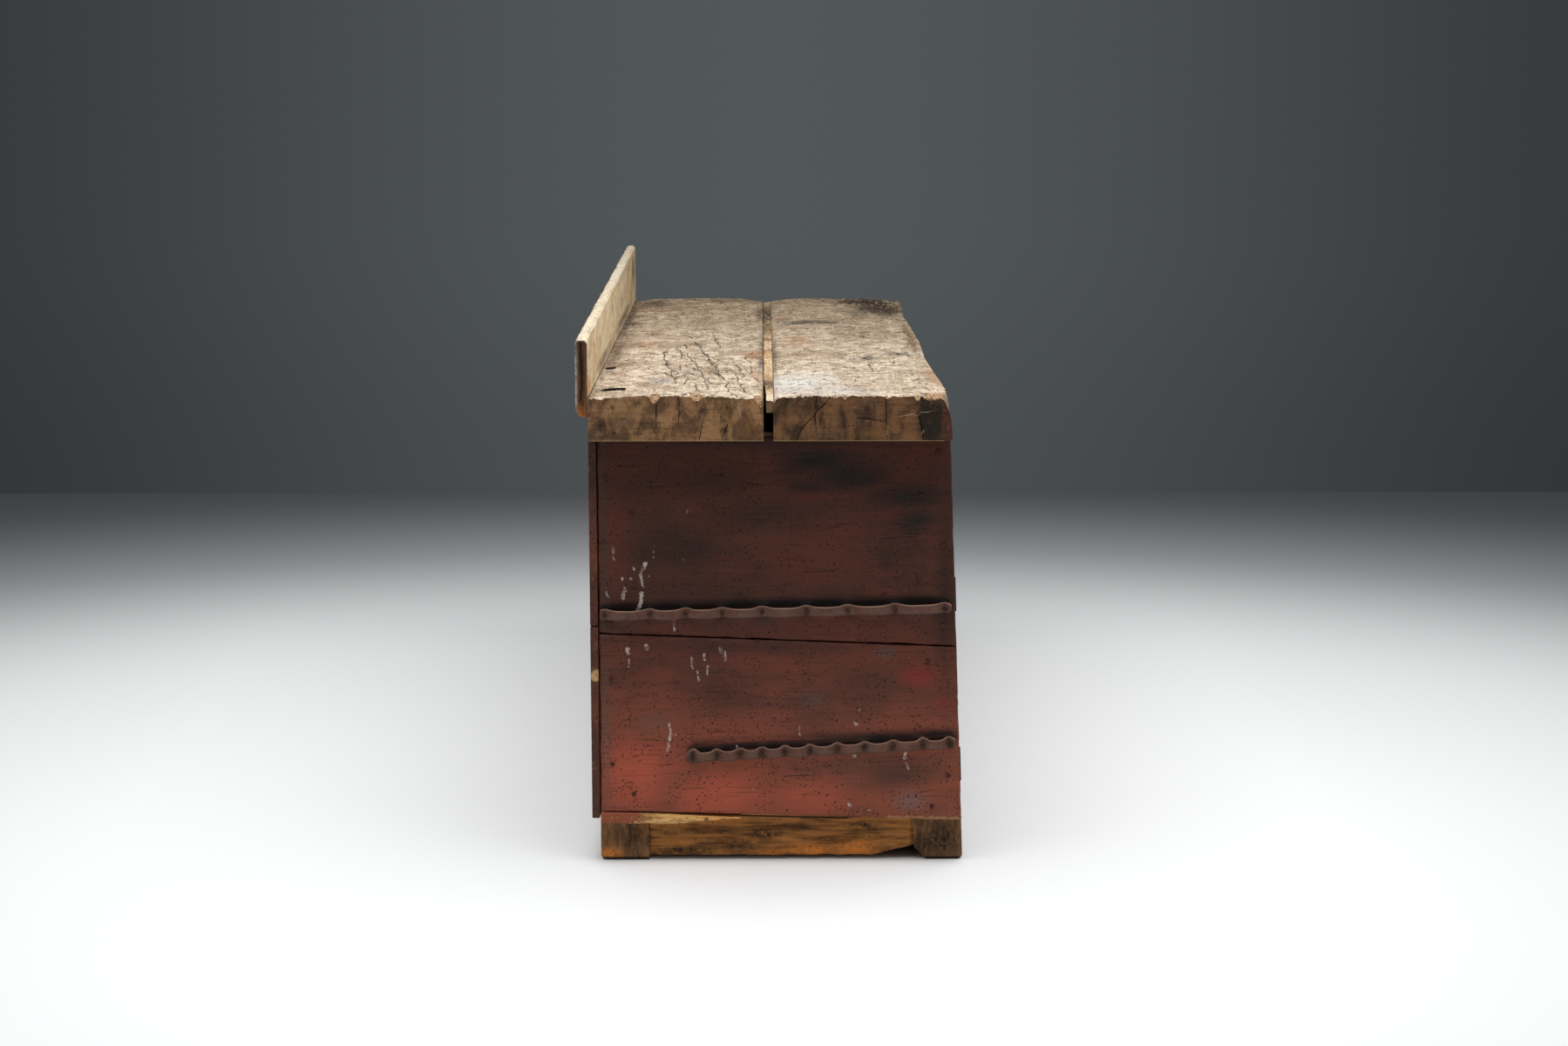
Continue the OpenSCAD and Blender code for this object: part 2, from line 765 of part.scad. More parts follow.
module rail_front_bottom() {
    color(red_paint) difference() {
        rail_front(low_z);
        middle_post_tenons(front_middle_z, false, wood_fit);
        bearer_stubs(floor_bearer_z, wood_fit);
        middle_pegs(pin_fit);
        for (s = [-1, 1]) side(s) corner_pegs(pin_fit);
    }
}

module rail_front_top() {
    color(red_paint) difference() {
        rail_front(front_top_z);
        middle_post_tenons(front_middle_z, false, wood_fit);
        bearer_stubs(top_bearer_z, wood_fit);
        middle_pegs(pin_fit);
        for (s = [-1, 1]) side(s) corner_pegs(pin_fit);
    }
}

// The rails under the drawers hang a lip behind the doors, which shut against it
module drawer_rails() {
    x = [-bay_outer, -bay_inner];
    lip_inset = door_thickness + stop_fit;
    color(red_paint) for (s = [-1, 1]) side(s) difference() {
        union() {
            raked(x, drawer_rail_zs, 0, rail_thickness);
            raked(x, [drawer_rail_z - lip_height, drawer_rail_z + past], lip_inset,
                rail_thickness - lip_inset);
            front_tenon(drawer_rail_zs);
            drawer_rail_inner_tenon();
        }
        corner_pegs(pin_fit);
        middle_pegs(pin_fit);
    }
}

module rail_back(z) {
    block([-bay_outer, bay_outer], [back_y - rail_thickness, back_y], z);
    for (s = [-1, 1]) side(s) back_tenon(z);
}

module rail_back_bottom() {
    color(inside_wood) difference() {
        rail_back(low_z);
        middle_post_tenons(back_middle_z, true, wood_fit);
        bearer_stubs(floor_bearer_z, wood_fit);
    }
}

module rail_back_top() {
    color(inside_wood) difference() {
        rail_back(high_z);
        middle_post_tenons(back_middle_z, true, wood_fit);
        bearer_stubs(top_bearer_z, wood_fit);
    }
}

module bearer(z) {
    color(inside_wood) {
        from_front([-bearer_width / 2, bearer_width / 2], z, rail_thickness,
            back_y - rail_thickness);
        bearer_stubs(z);
    }
}

module bearer_top_middle() { bearer(top_bearer_z); }
module bearer_floor_middle() { bearer(floor_bearer_z); }

// The places of the four drawer sides in one half of the bench
function slide_x(outer, width) = outer
    ? [-bay_outer, -bay_outer + width] : [-bay_inner - width, -bay_inner];

// Strips on the posts' faces that carry the drawers, each with a stop behind its drawer side
module drawer_runners() {
    stop_y = drawer_box_back + stop_fit;
    color(inside_wood) for (s = [-1, 1], outer = [true, false]) side(s) {
        x = slide_x(outer, runner_width);
        from_front(x, [drawer_rail_top - runner_height, drawer_rail_top], rail_thickness, back_y);
        block(x, [stop_y, stop_y + stop_length], [drawer_rail_top, drawer_rail_top + stop_height]);
    }
}

// Strips above the drawer sides that keep an open drawer from tipping
module drawer_kickers() {
    color(inside_wood) for (s = [-1, 1], outer = [true, false]) side(s)
        from_front(slide_x(outer, runner_width),
            [drawer_side_top + wood_fit, under_top - kicker_drop],
            rail_thickness, back_y - rail_thickness);
}

// Floor boards, notched round the posts
module floor_boards() {
    z = [low_rail_top, low_rail_top + floor_board_thickness];
    front = front_y(low_rail_top) + door_thickness + stop_fit;
    width = (back_y - front) / floor_board_count;
    color(inside_wood) for (i = [0:floor_board_count - 1]) {
        y0 = front + i * width;
        y1 = y0 + width - (i < floor_board_count - 1 ? floor_board_gap : 0);
        x = [-half_frame, half_frame];
        difference() {
            if (i == 0)
                along_x(x, [
                    [y0, z[0]], [y1, z[0]], [y1, z[1]],
                    [front_y(z[1]) + door_thickness + stop_fit, z[1]]
                ]);
            else block(x, [y0, y1], z);
            for (s = [-1, 1]) side(s) {
                raked([-half_frame - past, -bay_outer + notch_fit], [z[0] - past, z[1] + past],
                    -past, post_depth + notch_fit + past);
                block([-half_frame - past, -bay_outer + notch_fit],
                    [back_post_y - notch_fit, back_y + past], [z[0] - past, z[1] + past]);
            }
            raked([-bay_inner - notch_fit, bay_inner + notch_fit], [z[0] - past, z[1] + past],
                -past, middle_post_depth + notch_fit + past);
            block([-bay_inner - notch_fit, bay_inner + notch_fit],
                [back_y - middle_post_depth - notch_fit, back_y + past],
                [z[0] - past, z[1] + past]);
        }
    }
}

// End boards

// The foot of the lower board, and the joint above it, at a depth across the bench
function across(y) = (y - front_foot_y) / (back_y - front_foot_y);
function end_foot(y) = between(end_foot_front, end_foot_back, across(y));

module end_board(s, outline) {
    color(red_paint) side(s) difference() {
        along_x([-half_base, -half_frame], outline);
        end_nails(nail_fit);
        if (s < 0) strap_nails(nail_fit);
    }
}

module end_board_upper(s) {
    end_board(s, [
        [front_y(end_seam_front), end_seam_front], [end_board_back_y, end_seam_back],
        [end_board_back_y, under_top], [front_y(under_top), under_top]
    ]);
}

module end_board_lower(s) {
    end_board(s, [
        [front_y(end_foot_front), end_foot_front], [end_board_back_y, end_foot_back],
        [end_board_back_y, end_seam_back - seam_gap],
        [front_y(end_seam_front), end_seam_front - seam_gap]
    ]);
}

module end_board_upper_left() { end_board_upper(-1); }
module end_board_lower_left() { end_board_lower(-1); }
module end_board_upper_right() { end_board_upper(1); }
module end_board_lower_right() { end_board_lower(1); }

// A length that has split off the lower board's foot and splintered to a point
module split_strip() {
    whole = end_board_back_y - strip_whole;
    tip = end_board_back_y - strip_length;
    point = 2;      // what is left of its height at the tip
    color(red_paint) difference() {
        along_x([-half_base, -half_frame], [
            [tip, end_foot(tip) - split_gap - point], [whole, end_foot(whole) - strip_height],
            [end_board_back_y, end_foot(end_board_back_y) - strip_height],
            [end_board_back_y, end_foot(end_board_back_y) - split_gap],
            [tip, end_foot(tip) - split_gap]
        ]);
        strip_nails(nail_fit);
    }
}

// Back boards

module back_board(z) {
    color(red_paint) difference() {
        block([-half_base, half_base], [back_y, back_y + back_board_thickness], z);
        back_board_nails(nail_fit);
    }
}

module back_board_upper() { back_board([back_seam + seam_gap / 2, under_top]); }
module back_board_lower() { back_board([back_foot, back_seam - seam_gap / 2]); }

// Tool straps: [first nail's setback from the back, last nail's from the raked front]

upper_spans = [82, 66, 67, 73, 82, 75, 87, 91];     // shares of the width between the nails
lower_spans = [43, 43, 40, 42, 46, 50, 50, 52, 55, 48];
upper_ends = [12, 20];
lower_ends = [167, 19];
upper_rise = [33, 69];      // of the leather's middle above the joint, at the back and at the front
lower_rise = [102, 143];    // of the leather's middle above the board's foot
upper_z = [end_seam_back + upper_rise[0], end_seam_front + upper_rise[1]];
lower_z = [end_foot_back + lower_rise[0], end_foot_front + lower_rise[1]];
strap_tail = 8;         // how far a strap runs past its last nails
strap_flat = 0.75;      // how far it lies flat past a nail's head
strap_steps = 10;       // rings in each loop

function strap_nail_y(spans, ends, z, i) = between(
    back_y - ends[0], front_y(z[1]) + ends[1], sum_of(spans, i) / sum_of(spans, len(spans)));
function strap_nail_z(spans, z, i) = between(z[0], z[1], sum_of(spans, i) / sum_of(spans, len(spans)));

// The middle of the leather at a share t of a loop: [distance off the board, y, z]
function loop_point(y0, y1, z0, z1, loop, t) = let (
    flat = (nail_head / 2 + strap_flat) / abs(y1 - y0), s = between(flat, 1 - flat, t),
    off = pow(sin(180 * t), 2)
) [
    strap_thickness / 2 + (loop - strap_thickness) * off,
    between(y0, y1, s), between(z0, z1, s) - loop_sag * off
];

// A whole strap's middle line, from the back to the front
function strap_line(spans, ends, z, loop) = concat(
    [[strap_thickness / 2, back_y - ends[0] + strap_tail - end_set_in, z[0]]],
    [for (i = [0:len(spans) - 1], k = [0:strap_steps]) loop_point(
        strap_nail_y(spans, ends, z, i), strap_nail_y(spans, ends, z, i + 1),
        strap_nail_z(spans, z, i), strap_nail_z(spans, z, i + 1), loop, k / strap_steps)],
    [[strap_thickness / 2, strap_nail_y(spans, ends, z, len(spans)) - strap_tail, z[1]]]
);

// One ring of the leather round its middle line, square to the line as seen from above
function strap_ring(line, i) = let (
    a = line[max(i - 1, 0)], b = line[min(i + 1, len(line) - 1)],
    along = [b[0] - a[0], b[1] - a[1]], n = [-along[1], along[0]] / norm(along) * strap_thickness / 2,
    p = line[i], w = strap_width / 2
) [
    [p[0] + n[0], p[1] + n[1], p[2] - w], [p[0] - n[0], p[1] - n[1], p[2] - w],
    [p[0] - n[0], p[1] - n[1], p[2] + w], [p[0] + n[0], p[1] + n[1], p[2] + w]
];

// Leather swept along a line; distances off the board become -X
module strap(line) {
    rings = [for (i = [0:len(line) - 1]) strap_ring(line, i)];
    points = [for (ring = rings, p = ring) [-half_base - p[0], p[1], p[2]]];
    last = 4 * (len(line) - 1);
    polyhedron(points, concat(
        [[0, 1, 2], [0, 2, 3], [last, last + 2, last + 1], [last, last + 3, last + 2]],
        [for (i = [0:len(line) - 2], j = [0:3]) let (a = 4 * i + j, b = 4 * i + (j + 1) % 4)
            [a, a + 4, b]],
        [for (i = [0:len(line) - 2], j = [0:3]) let (a = 4 * i + j, b = 4 * i + (j + 1) % 4)
            [b, a + 4, b + 4]]
    ), convexity = 10);
}

module strap_row_nails(spans, ends, z, fit) {
    for (i = [0:len(spans)])
        into_end(strap_nail_y(spans, ends, z, i), strap_nail_z(spans, z, i),
            -half_base - strap_thickness)
            nail(strap_thickness + end_board_thickness - nail_stop, fit);
}

module strap_nails(fit = 0) {
    strap_row_nails(upper_spans, upper_ends, upper_z, fit);
    strap_row_nails(lower_spans, lower_ends, lower_z, fit);
}

module tool_strap_upper() {
    color(old_leather) difference() {
        strap(strap_line(upper_spans, upper_ends, upper_z, upper_loop));
        strap_nails(nail_fit);
    }
}

module tool_strap_lower() {
    color(old_leather) difference() {
        strap(strap_line(lower_spans, lower_ends, lower_z, lower_loop));
        strap_nails(nail_fit);
    }
}

module tool_strap_nails() { color(old_iron) strap_nails(); }

// Knobs

// A turned knob on the face, its dowel running through the wood behind it
module knob(wood) {
    foot = knob_radius * 0.62;
    neck = [knob_radius * 0.5, knob_reach * 0.12];      // its radius and height
    cap = knob_reach * 0.32;        // half the height of the rounded head
    color(inside_wood) rotate([90, 0, 0]) rotate_extrude() polygon(concat(
        [[0, -wood], [knob_dowel, -wood], [knob_dowel, 0], [foot, 0], neck],
        [for (a = [-60:15:90]) [knob_radius * cos(a), knob_reach - cap + cap * sin(a)]]
    ));
}

module knob_bore(wood) {
    translate([0, wood + past, 0]) rotate([90, 0, 0])
        cylinder(h = wood + 2 * past, r = knob_dowel + pin_fit);
}

// Drawers

drawer_x = [-bay_outer + front_gap, -bay_inner - front_gap];
drawer_mid_x = (drawer_x[0] + drawer_x[1]) / 2;
drawer_bottom_z = drawer_side_z + drawer_bottom_lift;
drawer_bottom_zs = [drawer_bottom_z, drawer_bottom_z + drawer_bottom_thickness];
housing = drawer_side_thickness / 3;        // depth of the grooves in the drawer sides

// The dovetails at one corner, on the end of a drawer side
module dovetails(x, fit = 0) {
    pitch = (drawer_side_top - drawer_z) / dovetail_count;
    for (i = [0:dovetail_count - 1]) {
        z = drawer_z + pitch * (i + 0.5);
        root = pitch * 0.24 + fit;
        end = pitch * 0.34 + fit;
        reach = dovetail_depth + fit;
        along_x([x[0] - fit, x[1] + fit], [
            [front_y(z - root) + drawer_front_thickness + past, z - root],
            [front_y(z + root) + drawer_front_thickness + past, z + root],
            [front_y(z + end) + drawer_front_thickness - reach, z + end],
            [front_y(z - end) + drawer_front_thickness - reach, z - end]
        ]);
    }
}

function side_xs(outer) = outer
    ? [drawer_x[0], drawer_x[0] + drawer_side_thickness]
    : [drawer_x[1] - drawer_side_thickness, drawer_x[1]];

// The bottom board, which runs in grooves and out under the back
module drawer_bottom_board(fit = 0) {
    reach = drawer_side_thickness - housing;
    z = [drawer_bottom_zs[0] - fit, drawer_bottom_zs[1] + fit];
    from_front([drawer_x[0] + reach - fit, drawer_x[1] - reach + fit], z,
        drawer_front_thickness - housing - fit, drawer_box_back + (fit > 0 ? past : 0));
}

// The back board, housed in the sides and standing on the bottom
module drawer_back_board(fit = 0) {
    reach = drawer_side_thickness - housing;
    y = drawer_box_back - drawer_back_inset - drawer_side_thickness;
    block([drawer_x[0] + reach - fit, drawer_x[1] - reach + fit],
        [y - fit, y + drawer_side_thickness + fit],
        [drawer_bottom_zs[1] + wood_fit, drawer_side_top - back_drop + (fit > 0 ? past : 0)]);
}

module drawer_front(s) {
    z = [drawer_z, drawer_z + drawer_front_height];
    color(red_paint) side(s) difference() {
        raked(drawer_x, z, 0, drawer_front_thickness);
        for (outer = [true, false]) {
            x = side_xs(outer);
            dovetails([x[0] - (outer ? past : 0), x[1] + (outer ? 0 : past)], dovetail_fit);
        }
        drawer_bottom_board(wood_fit);
        on_front(drawer_mid_x, drawer_knob_z) knob_bore(drawer_front_thickness);
    }
}

module drawer_sides(s) {
    color(inside_wood) side(s) for (outer = [true, false]) {
        x = side_xs(outer);
        difference() {
            union() {
                from_front(x, [drawer_side_z, drawer_side_top], drawer_front_thickness,
                    drawer_box_back);
                dovetails(x);
            }
            drawer_bottom_board(wood_fit);
            drawer_back_board(wood_fit);
        }
    }
}

module drawer_back(s) { color(inside_wood) side(s) drawer_back_board(); }
module drawer_bottom(s) { color(inside_wood) side(s) drawer_bottom_board(); }

module drawer_knob(s) {
    side(s) on_front(drawer_mid_x, drawer_knob_z) knob(drawer_front_thickness);
}

module drawer_left_front() { drawer_front(-1); }
module drawer_left_sides() { drawer_sides(-1); }
module drawer_left_back() { drawer_back(-1); }
module drawer_left_bottom() { drawer_bottom(-1); }
module drawer_left_knob() { drawer_knob(-1); }
module drawer_right_front() { drawer_front(1); }
module drawer_right_sides() { drawer_sides(1); }
module drawer_right_back() { drawer_back(1); }
module drawer_right_bottom() { drawer_bottom(1); }
module drawer_right_knob() { drawer_knob(1); }

// Doors

door_x = [-bay_outer + hinge_gap, -bay_inner - front_gap];
hinge_x = -bay_outer + hinge_gap / 2;
door_height = (door_top - door_z) / cos(rake_angle);
ledge_zs = [for (t = [0.18, 0.82]) door_height * t - ledge_height / 2];
door_knob_x = door_x[1] - door_knob_inset;

// The axis of the hinges, square to the raked front, with its origin at the door's foot
module on_hinge() {
    on_front(hinge_x, door_z) translate([0, -knuckle_radius - knuckle_fit, 0]) children();
}

module door_boards(s) {
    width = (door_x[1] - door_x[0] + door_board_gap) / door_board_count;
    color(red_paint) side(s) difference() {
        for (i = [0:door_board_count - 1])
            on_front(door_x[0] + i * width, door_z)
                cube([width - door_board_gap, door_thickness, door_height]);
        door_nail_rows(nail_fit);
        on_front(door_knob_x, door_knob_z) knob_bore(door_thickness);
    }
}

module door_ledges(s) {
    color(inside_wood) side(s) difference() {
        on_front(door_x[0] + ledge_end, door_z) for (z = ledge_zs)
            translate([0, door_thickness, z])
                cube([door_x[1] - door_x[0] - 2 * ledge_end, ledge_thickness, ledge_height]);
        door_nail_rows(nail_fit);
    }
}

// Two nails through each board into each ledge
module door_nail_rows(fit = 0) {
    width = (door_x[1] - door_x[0] + door_board_gap) / door_board_count;
    for (i = [0:door_board_count - 1], z = ledge_zs, share = [0.3, 0.7])
        on_front(door_x[0] + (i + share) * width, door_z)
            translate([0, 0, z + share * ledge_height])
                nail(door_thickness + ledge_thickness - nail_stop, fit);
}

module door_nails(s) { color(old_iron) side(s) door_nail_rows(); }

module door_knob(s) {
    side(s) on_front(door_knob_x, door_knob_z) knob(door_thickness);
}

// Hinges

knuckle_count = 5;
hinge_zs = [for (t = [0.13, 0.87]) door_height * t - hinge_height / 2];

module knuckles(odd, fit = 0) {
    h = hinge_height / knuckle_count;
    for (i = [odd ? 1 : 0:2:knuckle_count - 1])
        translate([0, 0, i * h + (fit > 0 ? 0 : knuckle_fit / 2)])
            cylinder(h = h - (fit > 0 ? 0 : knuckle_fit), r = knuckle_radius + fit);
}

// One leaf in the gap between door and post, on the post's side or on the door's
module leaf(on_post) {
    x = on_post ? -hinge_gap / 2 : hinge_gap / 2 - leaf_thickness;
    difference() {
        union() {
            difference() {
                translate([x, 0, 0])
                    cube([leaf_thickness, leaf_width + knuckle_radius, hinge_height]);
                knuckles(on_post, knuckle_fit);
            }
            knuckles(!on_post);
        }
        translate([0, 0, -past]) cylinder(h = hinge_height + 2 * past, r = pin_radius + pin_fit);
    }
}

module hinge_pin() {
    head = 1.2;     // its height, and how far it stands out round the pin
    gap = knuckle_fit / 2;
    translate([0, 0, -gap]) cylinder(h = hinge_height + 2 * gap, r = pin_radius);
    for (z = [-gap - head, hinge_height + gap])
        translate([0, 0, z]) cylinder(h = head, r = pin_radius + head);
}

module hinge_frame_leaves() {
    color(old_iron) for (s = [-1, 1]) side(s) on_hinge() for (z = hinge_zs)
        translate([0, 0, z]) {
            leaf(true);
            hinge_pin();
        }
}

module door_hinge_leaves(s) {
    color(old_iron) side(s) on_hinge() for (z = hinge_zs) translate([0, 0, z]) leaf(false);
}

module door_left_boards() { door_boards(-1); }
module door_left_ledges() { door_ledges(-1); }
module door_left_nails() { door_nails(-1); }
module door_left_hinge_leaves() { door_hinge_leaves(-1); }
module door_left_knob() { door_knob(-1); }
module door_right_boards() { door_boards(1); }
module door_right_ledges() { door_ledges(1); }
module door_right_nails() { door_nails(1); }
module door_right_hinge_leaves() { door_hinge_leaves(1); }
module door_right_knob() { door_knob(1); }

// Turn button

button_lift = 0.5;      // between the button's back and the doors

// The screw that the button turns on, with a domed head; with a fit, the bore for it
module button_screw(fit = 0) {
    out = button_lift + button_thickness + wood_fit;
    head = screw_radius * 2.2;
    dome = screw_radius * 3;
    on_front(0, button_z) rotate([90, 0, 0]) {
        translate([0, 0, -screw_hold - fit])
            cylinder(h = screw_hold + out + fit, r = screw_radius + fit);
        if (fit == 0)
            translate([0, 0, out]) intersection() {
                translate([0, 0, -dome / 2]) sphere(r = dome);
                cylinder(h = dome, r = head);
            }
    }
}

module turn_button_screw() { color(old_iron) button_screw(); }

module turn_button() {
    arm = button_length / 2 - button_width / 2;
    color(inside_wood) difference() {
        on_front(0, button_z) translate([0, -button_lift, 0]) rotate([90, 0, 0])
            linear_extrude(button_thickness) union() {
                translate([-button_width / 2, -arm]) square([button_width, 2 * arm]);
                for (end = [-1, 1]) translate([0, end * arm]) circle(d = button_width);
            }
        button_screw(pin_fit);
    }
}

plank_back();
plank_front();
plank_gap_batten();
upstand();
post_front_left();
post_front_right();
post_back_left();
post_back_right();
post_front_middle();
post_back_middle();
rail_end_bottom_left();
rail_end_bottom_right();
rail_end_top_left();
rail_end_top_right();
rail_front_bottom();
rail_front_top();
drawer_rails();
rail_back_bottom();
rail_back_top();
bearer_top_middle();
bearer_floor_middle();
drawer_runners();
drawer_kickers();
floor_boards();
tenon_pegs();
end_board_upper_left();
end_board_lower_left();
end_board_upper_right();
end_board_lower_right();
split_strip();
back_board_upper();
back_board_lower();
end_board_nails();
back_nails();
tool_strap_upper();
tool_strap_lower();
tool_strap_nails();
hinge_frame_leaves();
turn_button();
turn_button_screw();
drawer_left_front();
drawer_left_sides();
drawer_left_back();
drawer_left_bottom();
drawer_left_knob();
drawer_right_front();
drawer_right_sides();
drawer_right_back();
drawer_right_bottom();
drawer_right_knob();
door_left_boards();
door_left_ledges();
door_left_nails();
door_left_hinge_leaves();
door_left_knob();
door_right_boards();
door_right_ledges();
door_right_nails();
door_right_hinge_leaves();
door_right_knob();
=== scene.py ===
import bpy
import bmesh
import math
import numpy as np
from mathutils import Matrix, Vector, noise


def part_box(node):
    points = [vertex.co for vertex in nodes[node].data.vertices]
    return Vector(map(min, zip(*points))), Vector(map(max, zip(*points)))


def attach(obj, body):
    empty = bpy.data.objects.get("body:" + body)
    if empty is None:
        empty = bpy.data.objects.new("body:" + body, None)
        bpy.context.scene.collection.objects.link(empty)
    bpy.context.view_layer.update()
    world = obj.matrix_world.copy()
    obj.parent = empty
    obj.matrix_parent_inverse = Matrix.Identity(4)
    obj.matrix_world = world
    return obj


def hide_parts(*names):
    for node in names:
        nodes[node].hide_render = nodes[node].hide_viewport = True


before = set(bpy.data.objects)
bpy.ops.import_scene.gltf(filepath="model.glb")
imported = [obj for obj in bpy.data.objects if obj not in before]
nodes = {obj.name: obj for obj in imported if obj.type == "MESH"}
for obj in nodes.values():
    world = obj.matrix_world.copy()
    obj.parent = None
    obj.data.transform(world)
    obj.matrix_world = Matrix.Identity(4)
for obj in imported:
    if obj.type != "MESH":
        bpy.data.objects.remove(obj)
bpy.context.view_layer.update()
scene = bpy.context.scene
scene.view_settings.view_transform = "Standard"

# places of the bench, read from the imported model
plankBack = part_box("plank_back")
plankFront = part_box("plank_front")
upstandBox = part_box("upstand")
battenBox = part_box("plank_gap_batten")
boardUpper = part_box("end_board_upper_left")
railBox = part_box("rail_end_bottom_left")
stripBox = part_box("split_strip")
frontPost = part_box("post_front_left")
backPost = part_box("post_back_left")

bench = {
    "halfTop": plankBack[1].x,
    "halfBase": -boardUpper[0].x,
    "halfFrame": -boardUpper[1].x,
    "underTop": plankBack[0].z,
    "worktop": plankBack[1].z,
    "backY": backPost[1].y,
    "footY": frontPost[0].y,
    "rake": 0.029,       # how far the front leans back, floor to top
}


def frontY(z):
    return bench["footY"] + bench["rake"] * z / bench["underTop"]


def between(a, b, t):
    return a + (b - a) * t


def smooth(t):
    t = min(max(t, 0.0), 1.0)
    return t * t * (3 - 2 * t)


# Camera, light and background

view = {
    "place": (-5.8008, 0.0229, 1.447),
    "pitch": 9.592,      # degrees below the horizon
    "yaw": 0.438,        # degrees towards the front of the bench
    "lens": 65,
    "sensor": 36,
}


def addCamera():
    bpy.ops.object.camera_add(location=view["place"])
    camera = bpy.context.object
    pitch = math.radians(view["pitch"])
    yaw = math.radians(view["yaw"])
    look = Vector((math.cos(pitch) * math.cos(yaw), -math.cos(pitch) * math.sin(yaw), -math.sin(pitch)))
    camera.rotation_euler = look.to_track_quat("-Z", "Y").to_euler()
    camera.data.lens = view["lens"]
    camera.data.sensor_width = view["sensor"]
    scene.camera = camera


studio = {
    "softbox": (-1.00, 0.0, 3.1),
    "softboxSize": (3.0, 3.4),
    "softboxPower": 138,
    "sky": 0.13,
    "skyColour": (0.93, 0.96, 1, 1),
    "planeSize": 60,
    # the pool is a pool of light painted into the floor's colour
    "poolCentre": (0.6, 0, 0),             # turned round: added to a place on the floor
    "poolStretch": (1, 0.8, 0),
    "poolEdge": (2.1, 4.2),                # how far out the floor begins to darken, and is darkest
    "floorNear": (0.775, 0.785, 0.79),
    "floorFar": (0.24, 0.25, 0.26),
    "floorGlow": 0.23,                     # seen by the camera alone, and not under the bench
    "glowEdge": (1.6, 3.0),
    "besideBench": {"X": (0.84, 0.93), "Y": (0.27, 0.36)},
    "wallX": 3.36,
    "wallMiddle": (0.084, 0.094, 0.098),
    "wallSide": (0.036, 0.041, 0.044),
    "wallSpread": 3.0,                     # how far aside it is darkest
    "wallFoot": 0.86,                      # how bright it is at the floor, and how high up that fades
    "wallFade": 0.9,
}


def addLights():
    bpy.ops.object.light_add(type="AREA", location=studio["softbox"])
    softbox = bpy.context.object
    softbox.data.shape = "RECTANGLE"
    softbox.data.size = studio["softboxSize"][0]
    softbox.data.size_y = studio["softboxSize"][1]
    softbox.data.energy = studio["softboxPower"]
    world = bpy.data.worlds.new("studio")
    scene.world = world
    world.use_nodes = True
    sky = world.node_tree.nodes["Background"]
    sky.inputs["Color"].default_value = studio["skyColour"]
    sky.inputs["Strength"].default_value = studio["sky"]


# Short ways to build a material's nodes

